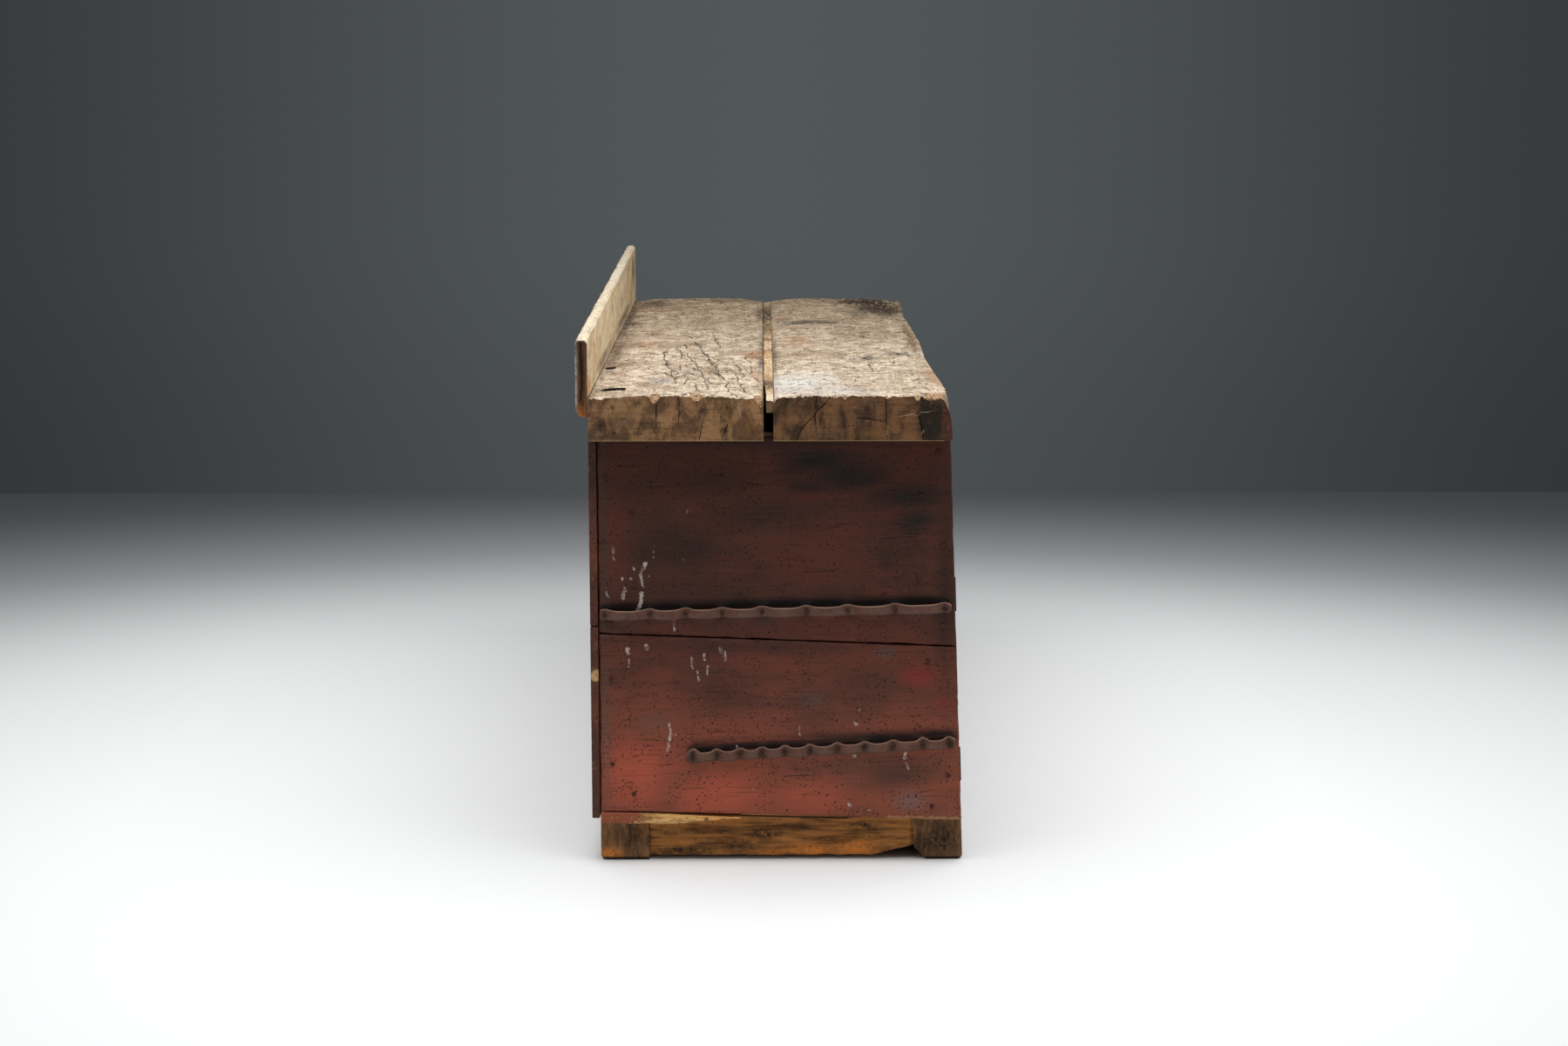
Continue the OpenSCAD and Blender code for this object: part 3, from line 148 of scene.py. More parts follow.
class Finish:
    def __init__(self, name, roughness=0.8):
        self.material = bpy.data.materials.new(name)
        self.material.use_nodes = True
        self.tree = self.material.node_tree
        self.shader = self.tree.nodes["Principled BSDF"]
        self.shader.inputs["Roughness"].default_value = roughness
        self.shader.inputs["Specular IOR Level"].default_value = 0.3
        self.place = self.add("ShaderNodeTexCoord").outputs["Object"]
        self.bumps = None

    def add(self, kind, **settings):
        made = self.tree.nodes.new(kind)
        for name, value in settings.items():
            setattr(made, name, value)
        return made

    def feed(self, socket, value):
        if isinstance(value, bpy.types.NodeSocket):
            self.tree.links.new(value, socket)
        elif socket.type == "RGBA":
            socket.default_value = (*value[:3], 1)
        else:
            socket.default_value = value

    def stretched(self, scale, shift=(0, 0, 0)):
        mapping = self.add("ShaderNodeMapping")
        self.feed(mapping.inputs["Vector"], self.place)
        mapping.inputs["Scale"].default_value = scale if isinstance(scale, tuple) else (scale,) * 3
        mapping.inputs["Location"].default_value = shift
        return mapping.outputs["Vector"]

    def noise(self, scale, detail=4, rough=0.55, distortion=0.0, shift=(0, 0, 0)):
        cloud = self.add("ShaderNodeTexNoise")
        self.feed(cloud.inputs["Vector"], self.stretched(scale, shift))
        cloud.inputs["Scale"].default_value = 1
        cloud.inputs["Detail"].default_value = detail
        cloud.inputs["Roughness"].default_value = rough
        cloud.inputs["Distortion"].default_value = distortion
        return cloud.outputs["Fac"]

    def cells(self, scale, shift=(0, 0, 0)):
        cell = self.add("ShaderNodeTexVoronoi")
        self.feed(cell.inputs["Vector"], self.stretched(scale, shift))
        cell.inputs["Scale"].default_value = 1
        return cell.outputs["Distance"]

    def holes(self, scale, size, rareness, shift=(0, 0, 0)):
        # round worm holes: one to a cell, and only where a slow noise lets them be
        rare = self.noise(26, 2, 0.5, shift=shift)
        hole = self.band(self.cells(scale, shift), size * 0.65, size, 1, 0)
        return self.sum("MULTIPLY", hole, self.band(rare, rareness, rareness + 0.05), True)

    def uneven(self, cover, scale, low=0.3, high=1.25):
        # breaks up a painted stain so that its edge is patchy
        patch = self.band(self.noise(scale, 5, 0.7), 0.3, 0.62, low, high)
        return self.sum("MULTIPLY", cover, patch, True)

    def ragged(self, name, scale, size):
        # a painted distance whose edge a fine noise moves in and out
        rag = self.sum("MULTIPLY", self.sum("SUBTRACT", self.noise(scale, 5, 0.7), 0.5), size)
        return self.sum("ADD", self.mark(name), rag)

    def line(self, name, scale, size):
        # the same for a thin line, whose painted distance keeps its side
        rag = self.sum("MULTIPLY", self.sum("SUBTRACT", self.noise(scale, 4, 0.6), 0.5), size)
        return self.sum("ABSOLUTE", self.sum("ADD", self.mark(name), rag), 0)

    def vector(self, operation, a, b):
        made = self.add("ShaderNodeVectorMath", operation=operation)
        self.feed(made.inputs[0], a)
        self.feed(made.inputs[1], b)
        return made.outputs["Vector"]

    def length(self, value):
        made = self.add("ShaderNodeVectorMath", operation="LENGTH")
        self.feed(made.inputs[0], value)
        return made.outputs["Value"]

    def part(self, value, name):
        made = self.add("ShaderNodeSeparateXYZ")
        self.feed(made.inputs[0], value)
        return made.outputs[name]

    def axis(self, name):
        return self.part(self.place, name)

    def facing(self, name):
        return self.part(self.add("ShaderNodeNewGeometry").outputs["Normal"], name)

    def blot(self, place, half):
        # how far a point lies from a place, as a share of the blot's half sizes
        return self.length(self.vector("DIVIDE", self.vector("SUBTRACT", self.place, place), half))

    def mark(self, name):
        return self.add("ShaderNodeAttribute", attribute_name=name).outputs["Fac"]

    def stained(self, colour, *patchy):
        # lays the painted stains over a colour, broken up as uneven is told
        stains = self.add("ShaderNodeAttribute", attribute_name="stains")
        return self.mix(self.uneven(stains.outputs["Alpha"], *patchy), colour, stains.outputs["Color"])

    def sum(self, operation, a, b, clamp=False):
        made = self.add("ShaderNodeMath", operation=operation, use_clamp=clamp)
        self.feed(made.inputs[0], a)
        self.feed(made.inputs[1], b)
        return made.outputs[0]

    def band(self, value, low, high, toLow=0.0, toHigh=1.0):
        made = self.add("ShaderNodeMapRange", interpolation_type="SMOOTHSTEP")
        for name, given in zip(("Value", "From Min", "From Max", "To Min", "To Max"),
                               (value, low, high, toLow, toHigh)):
            self.feed(made.inputs[name], given)
        return made.outputs["Result"]

    def mix(self, share, a, b, blend="MIX"):
        # the node's colours are its inputs 6 and 7 and its output 2
        made = self.add("ShaderNodeMix", data_type="RGBA", blend_type=blend)
        self.feed(made.inputs["Factor"], share)
        self.feed(made.inputs[6], a)
        self.feed(made.inputs[7], b)
        return made.outputs[2]

    def bump(self, height, distance, strength=1.0):
        made = self.add("ShaderNodeBump")
        self.feed(made.inputs["Height"], height)
        made.inputs["Distance"].default_value = distance
        made.inputs["Strength"].default_value = strength
        if self.bumps is not None:
            self.feed(made.inputs["Normal"], self.bumps)
        self.bumps = made.outputs["Normal"]

    def done(self, colour, roughness=None):
        self.feed(self.shader.inputs["Base Color"], colour)
        if roughness is not None:
            self.feed(self.shader.inputs["Roughness"], roughness)
        if self.bumps is not None:
            self.feed(self.shader.inputs["Normal"], self.bumps)
        return self.material


def srgb(red, green, blue):
    def linear(value):
        value /= 255
        return value / 12.92 if value <= 0.04045 else ((value + 0.055) / 1.055) ** 2.4
    return (linear(red), linear(green), linear(blue))


# Floor and wall

def addFloor():
    bpy.ops.mesh.primitive_plane_add(size=studio["planeSize"], location=(0, 0, 0))
    floor = bpy.context.object
    floor.name = "studio_floor"
    finish = Finish("floor_paint_and_light_pool", 0.7)
    # the floor's colour is a painted pool of light, bright about the bench and darker far out; a glow seen by
    # the camera alone brightens it further beside the bench
    place = finish.vector("ADD", finish.place, studio["poolCentre"])
    out = finish.length(finish.vector("MULTIPLY", place, studio["poolStretch"]))
    finish.done(finish.mix(finish.band(out, *studio["poolEdge"]), studio["floorNear"], studio["floorFar"]))
    seen = finish.add("ShaderNodeLightPath").outputs["Is Camera Ray"]
    beside = finish.sum("MAXIMUM", *(finish.band(finish.sum("ABSOLUTE", finish.axis(name), 0), *edge)
                                     for name, edge in studio["besideBench"].items()))
    glow = finish.sum("MULTIPLY", finish.band(out, *studio["glowEdge"], studio["floorGlow"], 0.0), beside)
    glow = finish.sum("MULTIPLY", glow, seen)
    finish.shader.inputs["Emission Color"].default_value = (1, 1, 1, 1)
    finish.feed(finish.shader.inputs["Emission Strength"], glow)
    floor.data.materials.append(finish.material)


def addWall():
    size = studio["planeSize"]
    bpy.ops.mesh.primitive_plane_add(size=size, location=(studio["wallX"], 0, size / 2),
                                     rotation=(0, -math.pi / 2, 0))
    bpy.ops.object.transform_apply(location=True, rotation=True, scale=True)
    wall = bpy.context.object
    wall.name = "studio_wall"
    finish = Finish("wall_glow_and_painted_light", 0.9)
    # the wall glows by itself, and its colour is painted light: brightest in the middle behind the bench,
    # darker aside and towards the floor
    aside = finish.band(finish.sum("ABSOLUTE", finish.axis("Y"), 0), 0.0, studio["wallSpread"])
    colour = finish.mix(aside, studio["wallMiddle"], studio["wallSide"])
    foot = finish.mix(1.0, colour, (studio["wallFoot"],) * 3, "MULTIPLY")
    colour = finish.mix(finish.band(finish.axis("Z"), 0.0, studio["wallFade"], 1.0, 0.0), colour, foot)
    shade = finish.add("ShaderNodeEmission")
    finish.feed(shade.inputs["Color"], colour)
    clear = finish.add("ShaderNodeBsdfTransparent")
    choose = finish.add("ShaderNodeMixShader")
    finish.feed(choose.inputs[0], finish.add("ShaderNodeNewGeometry").outputs["Backfacing"])
    finish.feed(choose.inputs[1], shade.outputs[0])
    finish.feed(choose.inputs[2], clear.outputs[0])
    finish.feed(finish.tree.nodes["Material Output"].inputs["Surface"], choose.outputs[0])
    wall.data.materials.append(finish.material)


addCamera()
addLights()
addFloor()
addWall()
print("camera, light and stage are up")


# Tools for shaping worn timber

farAway = 0.05           # a mark's distance is kept no larger than this
endDepth = 0.004         # what lies this close to the strap end counts as its face


def meets(a, b):
    return abs(a - b) < 1e-5


def selectOnly(piece):
    bpy.ops.object.select_all(action="DESELECT")
    piece.select_set(True)
    bpy.context.view_layer.objects.active = piece


def startBlock(name, low, high):
    bpy.ops.object.select_all(action="DESELECT")
    middle = (Vector(low) + Vector(high)) / 2
    bpy.ops.mesh.primitive_cube_add(size=1, location=middle)
    piece = bpy.context.object
    piece.name = name
    piece.scale = Vector(high) - Vector(low)
    bpy.ops.object.transform_apply(location=True, rotation=True, scale=True)
    return piece


def cutAcross(piece, axis, cuts, low=-math.inf, high=math.inf):
    # cuts every edge that runs along one axis, between two places on it, into equal lengths
    selectOnly(piece)
    bpy.ops.object.mode_set(mode="EDIT")
    bpy.ops.mesh.select_mode(type="EDGE")
    bpy.ops.mesh.select_all(action="DESELECT")
    mesh = bmesh.from_edit_mesh(piece.data)
    for edge in mesh.edges:
        a, b = edge.verts[0].co, edge.verts[1].co
        run = b - a
        middle = (a[axis] + b[axis]) / 2
        edge.select_set(abs(run[axis]) > 0.99 * run.length and low < middle < high)
    mesh.select_flush_mode()
    bmesh.update_edit_mesh(piece.data)
    bpy.ops.mesh.subdivide(number_cuts=cuts)
    bpy.ops.object.mode_set(mode="OBJECT")


def cutGrid(piece, cuts):
    for axis, count in cuts:
        cutAcross(piece, axis, count)


def editAll(piece, operator, **settings):
    # runs one mesh operator on the whole piece
    selectOnly(piece)
    bpy.ops.object.mode_set(mode="EDIT")
    bpy.ops.mesh.select_all(action="SELECT")
    operator(**settings)
    bpy.ops.object.mode_set(mode="OBJECT")


def cutAt(piece, axis, places):
    # slices the whole piece square to an axis
    square = Vector((0, 0, 0))
    square[axis] = 1
    for place in places:
        editAll(piece, bpy.ops.mesh.bisect, plane_co=square * place, plane_no=square)


def cutZones(piece, near, zones, cuts):
    # cuts a long board finely by the strap end and coarsely beyond: zones says how far each reaches
    places = [near + zone for zone in zones]
    cutAt(piece, 0, places)
    for low, high, count in zip([near, *places], [*places, -near], cuts):
        cutAcross(piece, 0, count, low, high)


def reshape(piece, move):
    for vertex in piece.data.vertices:
        vertex.co = move(vertex.co.copy())
    piece.data.update()


def smoothByAngle(piece, degrees):
    selectOnly(piece)
    bpy.ops.object.shade_smooth_by_angle(angle=math.radians(degrees))


def vertexPlaces(piece):
    places = np.empty(len(piece.data.vertices) * 3)
    piece.data.vertices.foreach_get("co", places)
    return places.reshape(-1, 3)


def strokeDistance(points, start, end):
    # how far flat points lie from a straight stroke, less than zero to its right
    run = np.subtract(end, start)
    share = np.clip(((points - start) @ run) / max(run @ run, 1e-12), 0, 1)
    rest = points - start - share[:, None] * run
    away = np.hypot(rest[:, 0], rest[:, 1])
    return np.where(run[0] * rest[:, 1] < run[1] * rest[:, 0], -away, away)


def lineDistance(points, lines):
    # distance to the nearest bent line, kept with its side so that a thin crack stays sharp between vertices
    best = np.full(len(points), farAway)
    for line in lines:
        for start, end in zip(line, line[1:]):
            away = strokeDistance(points, start, end)
            best = np.where(np.abs(away) < np.abs(best), away, best)
    return best


def blotDistance(points, strokes):
    # distance outside the nearest of several strokes that have a width of their own
    best = np.full(len(points), farAway)
    for line, half in strokes:
        best = np.minimum(best, np.abs(lineDistance(points, [line])) - half)
    return best


def ease(values):
    values = np.clip(values, 0, 1)
    return values * values * (3 - 2 * values)


def mixStains(points, stains):
    # each stain is its place, its half sizes, its colour and how strongly it shows
    shown = np.zeros((len(points), 4))
    for place, half, colour, strength in stains:
        away = (points - place) / half
        share = strength * ease(1 - np.hypot(away[:, 0], away[:, 1]))
        weight = share / np.maximum(share + shown[:, 3], 1e-6)
        shown[:, :3] += (np.array(stainColours[colour]) - shown[:, :3]) * weight[:, None]
        shown[:, 3] = np.maximum(shown[:, 3], share)
    return shown


def paintMarks(piece, name, values):
    layer = piece.data.attributes.new(name, "FLOAT", "POINT")
    layer.data.foreach_set("value", np.asarray(values, np.float32))


def paintStains(piece, shown):
    layer = piece.data.attributes.new("stains", "FLOAT_COLOR", "POINT")
    layer.data.foreach_set("color", np.asarray(shown, np.float32).ravel())


def finishPiece(piece, body, replaced, angle=35):
    smoothByAngle(piece, angle)
    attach(piece, body)
    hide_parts(*replaced)


def assignByFace(piece, names, choose):
    # names: the materials in the order of their slots, of which choose gives each face one
    for name in names:
        piece.data.materials.append(materials[name])
    for face in piece.data.polygons:
        face.material_index = names.index(choose(face))


# Finishes

stainColours = {
    "chalk": srgb(194, 190, 184),
    "slate": srgb(104, 102, 102),
    "ink": srgb(56, 50, 46),
    "rust": srgb(160, 112, 66),
    "rot": srgb(50, 37, 26),
    "sootAndShade": srgb(60, 46, 34),
    "smear": srgb(150, 66, 50),
    "umber": srgb(96, 72, 48),
    "whitewash": srgb(202, 190, 172),
    "moss": srgb(46, 42, 34),
    "brickRed": srgb(164, 80, 60),
    "crimson": srgb(150, 58, 48),
    "ash": srgb(98, 82, 72),
    "darkPaintAndShade": srgb(72, 46, 36),
    "shadowAndGrime": srgb(26, 18, 14),
    "bareOrange": srgb(232, 140, 60),
    "tar": srgb(44, 36, 27),
    "paintRed": srgb(160, 88, 64),
    "yellowWood": srgb(255, 196, 116),
}
holeAndShadowColour = srgb(18, 12, 10)
oldRed = (srgb(132, 72, 54), srgb(102, 59, 45), srgb(150, 76, 56))
frontRed = (srgb(138, 74, 56), srgb(94, 54, 42), srgb(164, 88, 64))
insideWood = (srgb(182, 146, 104), srgb(134, 102, 70))
goldenWood = (srgb(196, 132, 70), srgb(116, 74, 40))


def makePlankTop():
    finish = Finish("plank_top_wood", 0.86)
    drift = finish.noise(5, 4, 0.6)
    blotch = finish.noise((24, 30, 20), 6, 0.66, 0.6)
    fleck = finish.noise((62, 74, 60), 7, 0.76, 0.4)
    dash = finish.noise((58, 78, 70), 4, 0.62, 0.5, shift=(4, 7, 2))
    grain = finish.noise((12, 260, 120), 4, 0.6, 0.3)
    # bleached wood that is browner towards the far end
    pale = finish.mix(finish.band(blotch, 0.34, 0.64), srgb(154, 134, 110), srgb(216, 199, 177))
    colour = finish.mix(finish.band(finish.axis("X"), -0.6, 0.9, 0.0, 0.7), pale,
                        finish.mix(finish.band(blotch, 0.36, 0.62), srgb(116, 96, 71), srgb(166, 144, 113)))
    colour = finish.mix(finish.band(drift, 0.48, 0.68, 0, 0.5), colour, srgb(122, 98, 72))
    colour = finish.mix(finish.band(grain, 0.3, 0.62, 0.32, 0.0), colour, srgb(98, 76, 54))
    colour = finish.mix(finish.band(fleck, 0.31, 0.42, 0.5, 0.0), colour, srgb(232, 216, 192))
    colour = finish.mix(finish.band(fleck, 0.55, 0.63, 0.0, 0.9), colour, srgb(88, 67, 47))
    colour = finish.stained(colour, (52, 96, 52), 0.1)
    # dark dashes, pits and worm holes lie over the stains
    colour = finish.mix(finish.band(dash, 0.59, 0.635, 0.0, 0.9), colour, srgb(52, 38, 27))
    pit = finish.noise((130, 230, 120), 3, 0.6, 0.3, shift=(1, 8, 2))
    colour = finish.mix(finish.band(pit, 0.60, 0.65, 0.0, 0.95), colour, srgb(44, 32, 23))
    colour = finish.mix(finish.band(pit, 0.28, 0.36, 0.5, 0.0), colour, srgb(236, 222, 200))
    colour = finish.mix(finish.holes((115, 130, 100), 0.18, 0.46, (3, 1, 2)), colour, srgb(34, 24, 17))
    # a crack fades in and out along its length
    crack = finish.line("cracks", 110, 0.0034)
    broken = finish.band(finish.noise(55, 3, 0.6, shift=(6, 2, 1)), 0.34, 0.46, 0.2, 1.0)
    colour = finish.mix(finish.sum("MULTIPLY", finish.band(crack, 0.0006, 0.0018, 0.95, 0.0), broken), colour,
                        srgb(40, 29, 21))
    colour = finish.mix(finish.band(crack, 0.001, 0.004, 0.10, 0.0), colour, srgb(84, 62, 43))
    fibre = finish.mix(finish.band(finish.noise((90, 360, 360), 4, 0.7), 0.4, 0.6), srgb(70, 48, 32),
                       srgb(178, 140, 100))
    colour = finish.mix(finish.band(finish.ragged("fresh", 160, 0.7), 0.3, 0.55, 0.0, 0.9), colour, fibre)
    height = finish.sum("ADD", finish.sum("MULTIPLY", grain, 0.5), finish.sum("MULTIPLY", fleck, 0.9))
    finish.bump(height, 0.0014, 0.8)
    finish.bump(finish.band(crack, 0.0002, 0.0009), 0.0006, 0.6)
    return finish.done(colour)


def makeEndGrain(name, light, dark, centre):
    finish = Finish(name, 0.9)
    # growth rings about the heart of the tree, which lies above the plank
    shifted = finish.vector("SUBTRACT", finish.place, centre)
    fromHeart = finish.length(finish.vector("MULTIPLY", shifted, (0, 1, 1)))
    radius = finish.sum("ADD", fromHeart, finish.sum("MULTIPLY", finish.noise((1, 9, 9), 3, 0.5), 0.05))
    ring = finish.sum("SINE", finish.sum("MULTIPLY", radius, 1500), 0)
    ringFade = finish.noise((1, 30, 30), 3, 0.6)
    colour = finish.mix(finish.band(finish.noise((4, 30, 20), 6, 0.68, 0.5), 0.37, 0.61), dark, light)
    colour = finish.mix(finish.sum("MULTIPLY", finish.band(ring, -0.4, 1.0, 0, 0.30), ringFade), colour,
                        srgb(48, 34, 24))
    # saw marks, dark streaks and specks
    sawn = finish.noise((6, 16, 330), 4, 0.62, 0.2)
    colour = finish.mix(finish.band(sawn, 0.34, 0.5, 0.35, 0), colour, srgb(50, 37, 27))
    streak = finish.noise((6, 60, 22), 5, 0.6, 0.4)
    colour = finish.mix(finish.band(streak, 0.56, 0.70, 0, 0.6), colour, srgb(38, 28, 21))
    speck = finish.noise((60, 210, 210), 4, 0.7)
    colour = finish.mix(finish.band(speck, 0.59, 0.68, 0, 0.85), colour, srgb(30, 22, 17))
    colour = finish.mix(finish.band(speck, 0.28, 0.40, 0.6, 0), colour, srgb(180, 144, 104))
    colour = finish.stained(colour, 70, 0.35)
    crack = finish.line("cracks", 240, 0.0016)
    colour = finish.mix(finish.band(crack, 0.0004, 0.0012, 0.97, 0.0), colour, srgb(16, 12, 9))
    scratch = finish.line("scratches", 300, 0.0016)
    colour = finish.mix(finish.band(scratch, 0.0003, 0.0010, 0.65, 0.0), colour, srgb(186, 160, 128))
    # the lower arris is rubbed pale, and what has broken away shows fresh fibres
    arris = bench["underTop"] + 0.0006
    colour = finish.mix(finish.band(finish.axis("Z"), arris, arris + 0.0016, 0.85, 0.0), colour,
                        srgb(190, 158, 112))
    fibre = finish.mix(finish.band(finish.noise((120, 240, 360), 4, 0.7), 0.4, 0.6), srgb(66, 46, 30),
                       srgb(170, 132, 92))
    colour = finish.mix(finish.band(finish.ragged("fresh", 200, 0.6), 0.3, 0.55, 0.0, 0.9), colour, fibre)
    finish.bump(finish.sum("ADD", speck, finish.sum("MULTIPLY", streak, 0.6)), 0.0010, 0.6)
    finish.bump(finish.band(crack, 0.0003, 0.001), 0.0015, 0.9)
    return finish.done(colour)


# a blot is its place, its half sizes, its colour and how strongly it shows
postBlots = [
    ((-0.873, -0.298, 0.040), (0.02, 0.048, 0.050), "tar", 0.75),
    ((-0.873, -0.262, 0.025), (0.02, 0.030, 0.030), "rot", 0.7),
    ((-0.873, 0.298, 0.012), (0.03, 0.036, 0.016), "bareOrange", 0.75),
    ((-0.873, 0.255, 0.040), (0.02, 0.022, 0.050), "rot", 0.55),
    ((-0.873, 0.270, 0.090), (0.02, 0.030, 0.012), "rot", 0.5),
]


def makeTimber(name, light, dark, along=(12, 160, 160), blot=(40, 30, 23), worms=0.5, marked=False,
               posts=False):
    # sawn timber with grain along X, Y or Z, blotches and worm holes
    finish = Finish(name, 0.85)
    grain = finish.noise(along, 5, 0.64, 0.4)
    blotch = finish.noise(tuple(part * 0.16 + 3 for part in along), 5, 0.62, 0.5, shift=(4, 2, 7))
    colour = finish.mix(finish.band(grain, 0.30, 0.66), dark, light)
    colour = finish.mix(finish.band(blotch, 0.50, 0.70, 0, 0.8), colour, srgb(*blot))
    paler = tuple(min(1, part * 1.5) for part in light)
    colour = finish.mix(finish.band(blotch, 0.28, 0.42, 0.4, 0), colour, paler)
    if marked:
        colour = finish.stained(colour, tuple(part * 0.4 + 90 for part in along), 0.1, 1.3)
        # on the worn bottom rail this dark line is the painted shadow under the end board's foot
        crack = finish.line("cracks", 240, 0.001)
        colour = finish.mix(finish.band(crack, 0.0006, 0.0022, 0.95, 0.0), colour, holeAndShadowColour)
    if posts:
        for place, half, hue, strength in postBlots:
            near = finish.band(finish.blot(place, half), 0.1, 1.1, strength, 0.0)
            colour = finish.mix(finish.uneven(near, (110, 150, 150), 0.1, 1.4), colour, stainColours[hue])
        # the bottom few millimetres are darkened: painted contact shadow, with damp dirt
        colour = finish.mix(finish.band(finish.axis("Z"), 0.003, 0.007, 0.95, 0.0), colour, holeAndShadowColour)
        front = finish.band(finish.facing("Y"), -0.9, -0.6, 1.0, 0.0)
        rubbed = finish.band(finish.noise((120, 120, 14), 5, 0.7), 0.56, 0.66, 1.0, 0.3)
        colour = finish.mix(finish.sum("MULTIPLY", front, rubbed), colour, frontRed[0])
    hole = finish.sum("MULTIPLY", finish.holes(95, 0.15, 0.44, (9, 4, 1)), worms)
    colour = finish.mix(hole, colour, holeAndShadowColour)
    finish.bump(grain, 0.0010, 0.6)
    return finish.done(colour)


def addUseAndPaintedLight(finish, colour):
    # painted light and shade by height: the paint is darkened towards the top as painted shade under the
    # worktop, and brightened low down as painted light from the floor; drips, scratches and wear follow
    paintedLightByHeight = finish.mix(finish.band(finish.axis("Z"), 0.12, 0.47), (1.40, 1.33, 1.25), (0.50, 0.50, 0.49))
    colour = finish.mix(1.0, colour, paintedLightByHeight, "MULTIPLY")
    drip = finish.ragged("drips", 210, 0.0115)
    thin = finish.band(finish.noise(120, 4, 0.7, shift=(1, 2, 3)), 0.36, 0.60, 0.12, 0.95)
    colour = finish.mix(finish.sum("MULTIPLY", finish.band(drip, -0.0006, 0.0008, 1, 0), thin), colour,
                        srgb(206, 188, 176))
    # dark scratches, and the painted shadow along the end board's lifted foot
    scratch = finish.line("scratches", 260, 0.0036)
    colour = finish.mix(finish.band(scratch, 0.0002, 0.0012, 0.8, 0.0), colour, srgb(22, 14, 11))
    bare = finish.mix(finish.noise((60, 60, 300), 4, 0.7), srgb(118, 78, 48), srgb(204, 160, 112))
    worn = finish.ragged("wear", (90, 170, 170), 0.026)
    return finish.mix(finish.band(worn, -0.0012, 0.0004, 0.95, 0.0), colour, bare)


def makePaint(name, base, deep, bright, grainAxis=1, wornThrough=0.0, marked=True, chip=None):
    # old oil paint over planed boards, worn and marked
    finish = Finish(name, 0.60)
    along = [300, 300, 300]
    along[grainAxis] = 12
    brushed = finish.noise(tuple(along), 5, 0.62, 0.25)
    slow = [9, 9, 9]
    slow[grainAxis] = 4
    cloud = finish.noise(tuple(slow), 5, 0.6, 0.4)
    colour = finish.mix(finish.band(cloud, 0.34, 0.66), deep, base)
    glow = finish.noise(tuple(part * 1.7 for part in slow), 4, 0.6, shift=(5, 3, 8))
    colour = finish.mix(finish.band(glow, 0.52, 0.74, 0, 0.3), colour, bright)
    if marked:
        colour = finish.stained(colour, tuple(part * 0.12 + 8 for part in along), 0.8, 1.15)
    colour = finish.mix(finish.band(brushed, 0.52, 0.74, 0, 0.28), colour, bright)
    darkest = tuple(part * 0.35 for part in deep)
    colour = finish.mix(finish.band(brushed, 0.28, 0.46, 0.55, 0), colour, darkest)
    flake = [130, 130, 260]
    flake[grainAxis] = 55
    nick = finish.noise(tuple(flake), 3, 0.6, shift=(8, 1, 3))
    colour = finish.mix(finish.band(nick, 0.70, 0.74, 0, 0.75), colour, holeAndShadowColour)
    small = finish.holes(170, 0.26, 0.45, (2, 4, 1))
    large = finish.holes(84, 0.19, 0.51, (5, 1, 6))
    hole = finish.sum("MAXIMUM", small, large)
    colour = finish.mix(finish.sum("MULTIPLY", hole, 0.9), colour, holeAndShadowColour)
    speck = finish.noise(250, 3, 0.6, shift=(7, 7, 7))
    colour = finish.mix(finish.band(speck, 0.735, 0.76, 0, 0.6), colour, srgb(176, 150, 130))
    if marked:
        colour = addUseAndPaintedLight(finish, colour)
    if wornThrough:
        rub = finish.noise(tuple(part * 0.3 for part in along), 6, 0.7, 0.4, shift=(3, 9, 5))
        colour = finish.mix(finish.band(rub, 0.66 - wornThrough, 0.7 - wornThrough, 0, 0.8), colour,
                            srgb(138, 102, 68))
    if chip:
        broken = finish.uneven(finish.band(finish.blot(*chip), 0.5, 1.0, 1.3, 0.0), 150, 0.2, 1.3)
        colour = finish.mix(broken, colour, srgb(212, 168, 116))
    finish.bump(finish.sum("SUBTRACT", brushed, finish.sum("MULTIPLY", hole, 1.5)), 0.0006, 0.6)
    rough = finish.band(cloud, 0.3, 0.7, 0.50, 0.70)
    return finish.done(colour, rough)


def makeUpstandWood():
    finish = Finish("upstand_face_wood", 0.88)
    grain = finish.noise((10, 120, 190), 5, 0.62, 0.5)
    cloud = finish.noise((9, 30, 22), 5, 0.62, 0.4)
    spot = finish.noise((64, 90, 100), 4, 0.7, shift=(2, 5, 1))
    colour = finish.mix(finish.band(cloud, 0.3, 0.66), srgb(224, 192, 148), srgb(254, 236, 200))
    colour = finish.mix(finish.band(grain, 0.3, 0.55, 0.35, 0), colour, srgb(162, 128, 90))
    colour = finish.mix(finish.band(spot, 0.60, 0.68, 0, 0.65), colour, srgb(92, 80, 68))
    above = finish.band(finish.facing("Z"), 0.4, 0.8, 0.0, 0.75)
    colour = finish.mix(above, colour, finish.mix(finish.band(spot, 0.4, 0.6), srgb(202, 192, 174),
                                                  srgb(152, 140, 124)))
    foot = finish.sum("ADD", finish.axis("Z"), finish.sum("MULTIPLY", finish.noise(60, 4, 0.7), -0.012))
    colour = finish.mix(finish.band(foot, 0.8385, 0.8445, 0.9, 0.0), colour, srgb(48, 34, 24))
    colour = finish.stained(colour, 60)
    finish.bump(finish.sum("ADD", grain, spot), 0.0012, 0.6)
    return finish.done(colour)


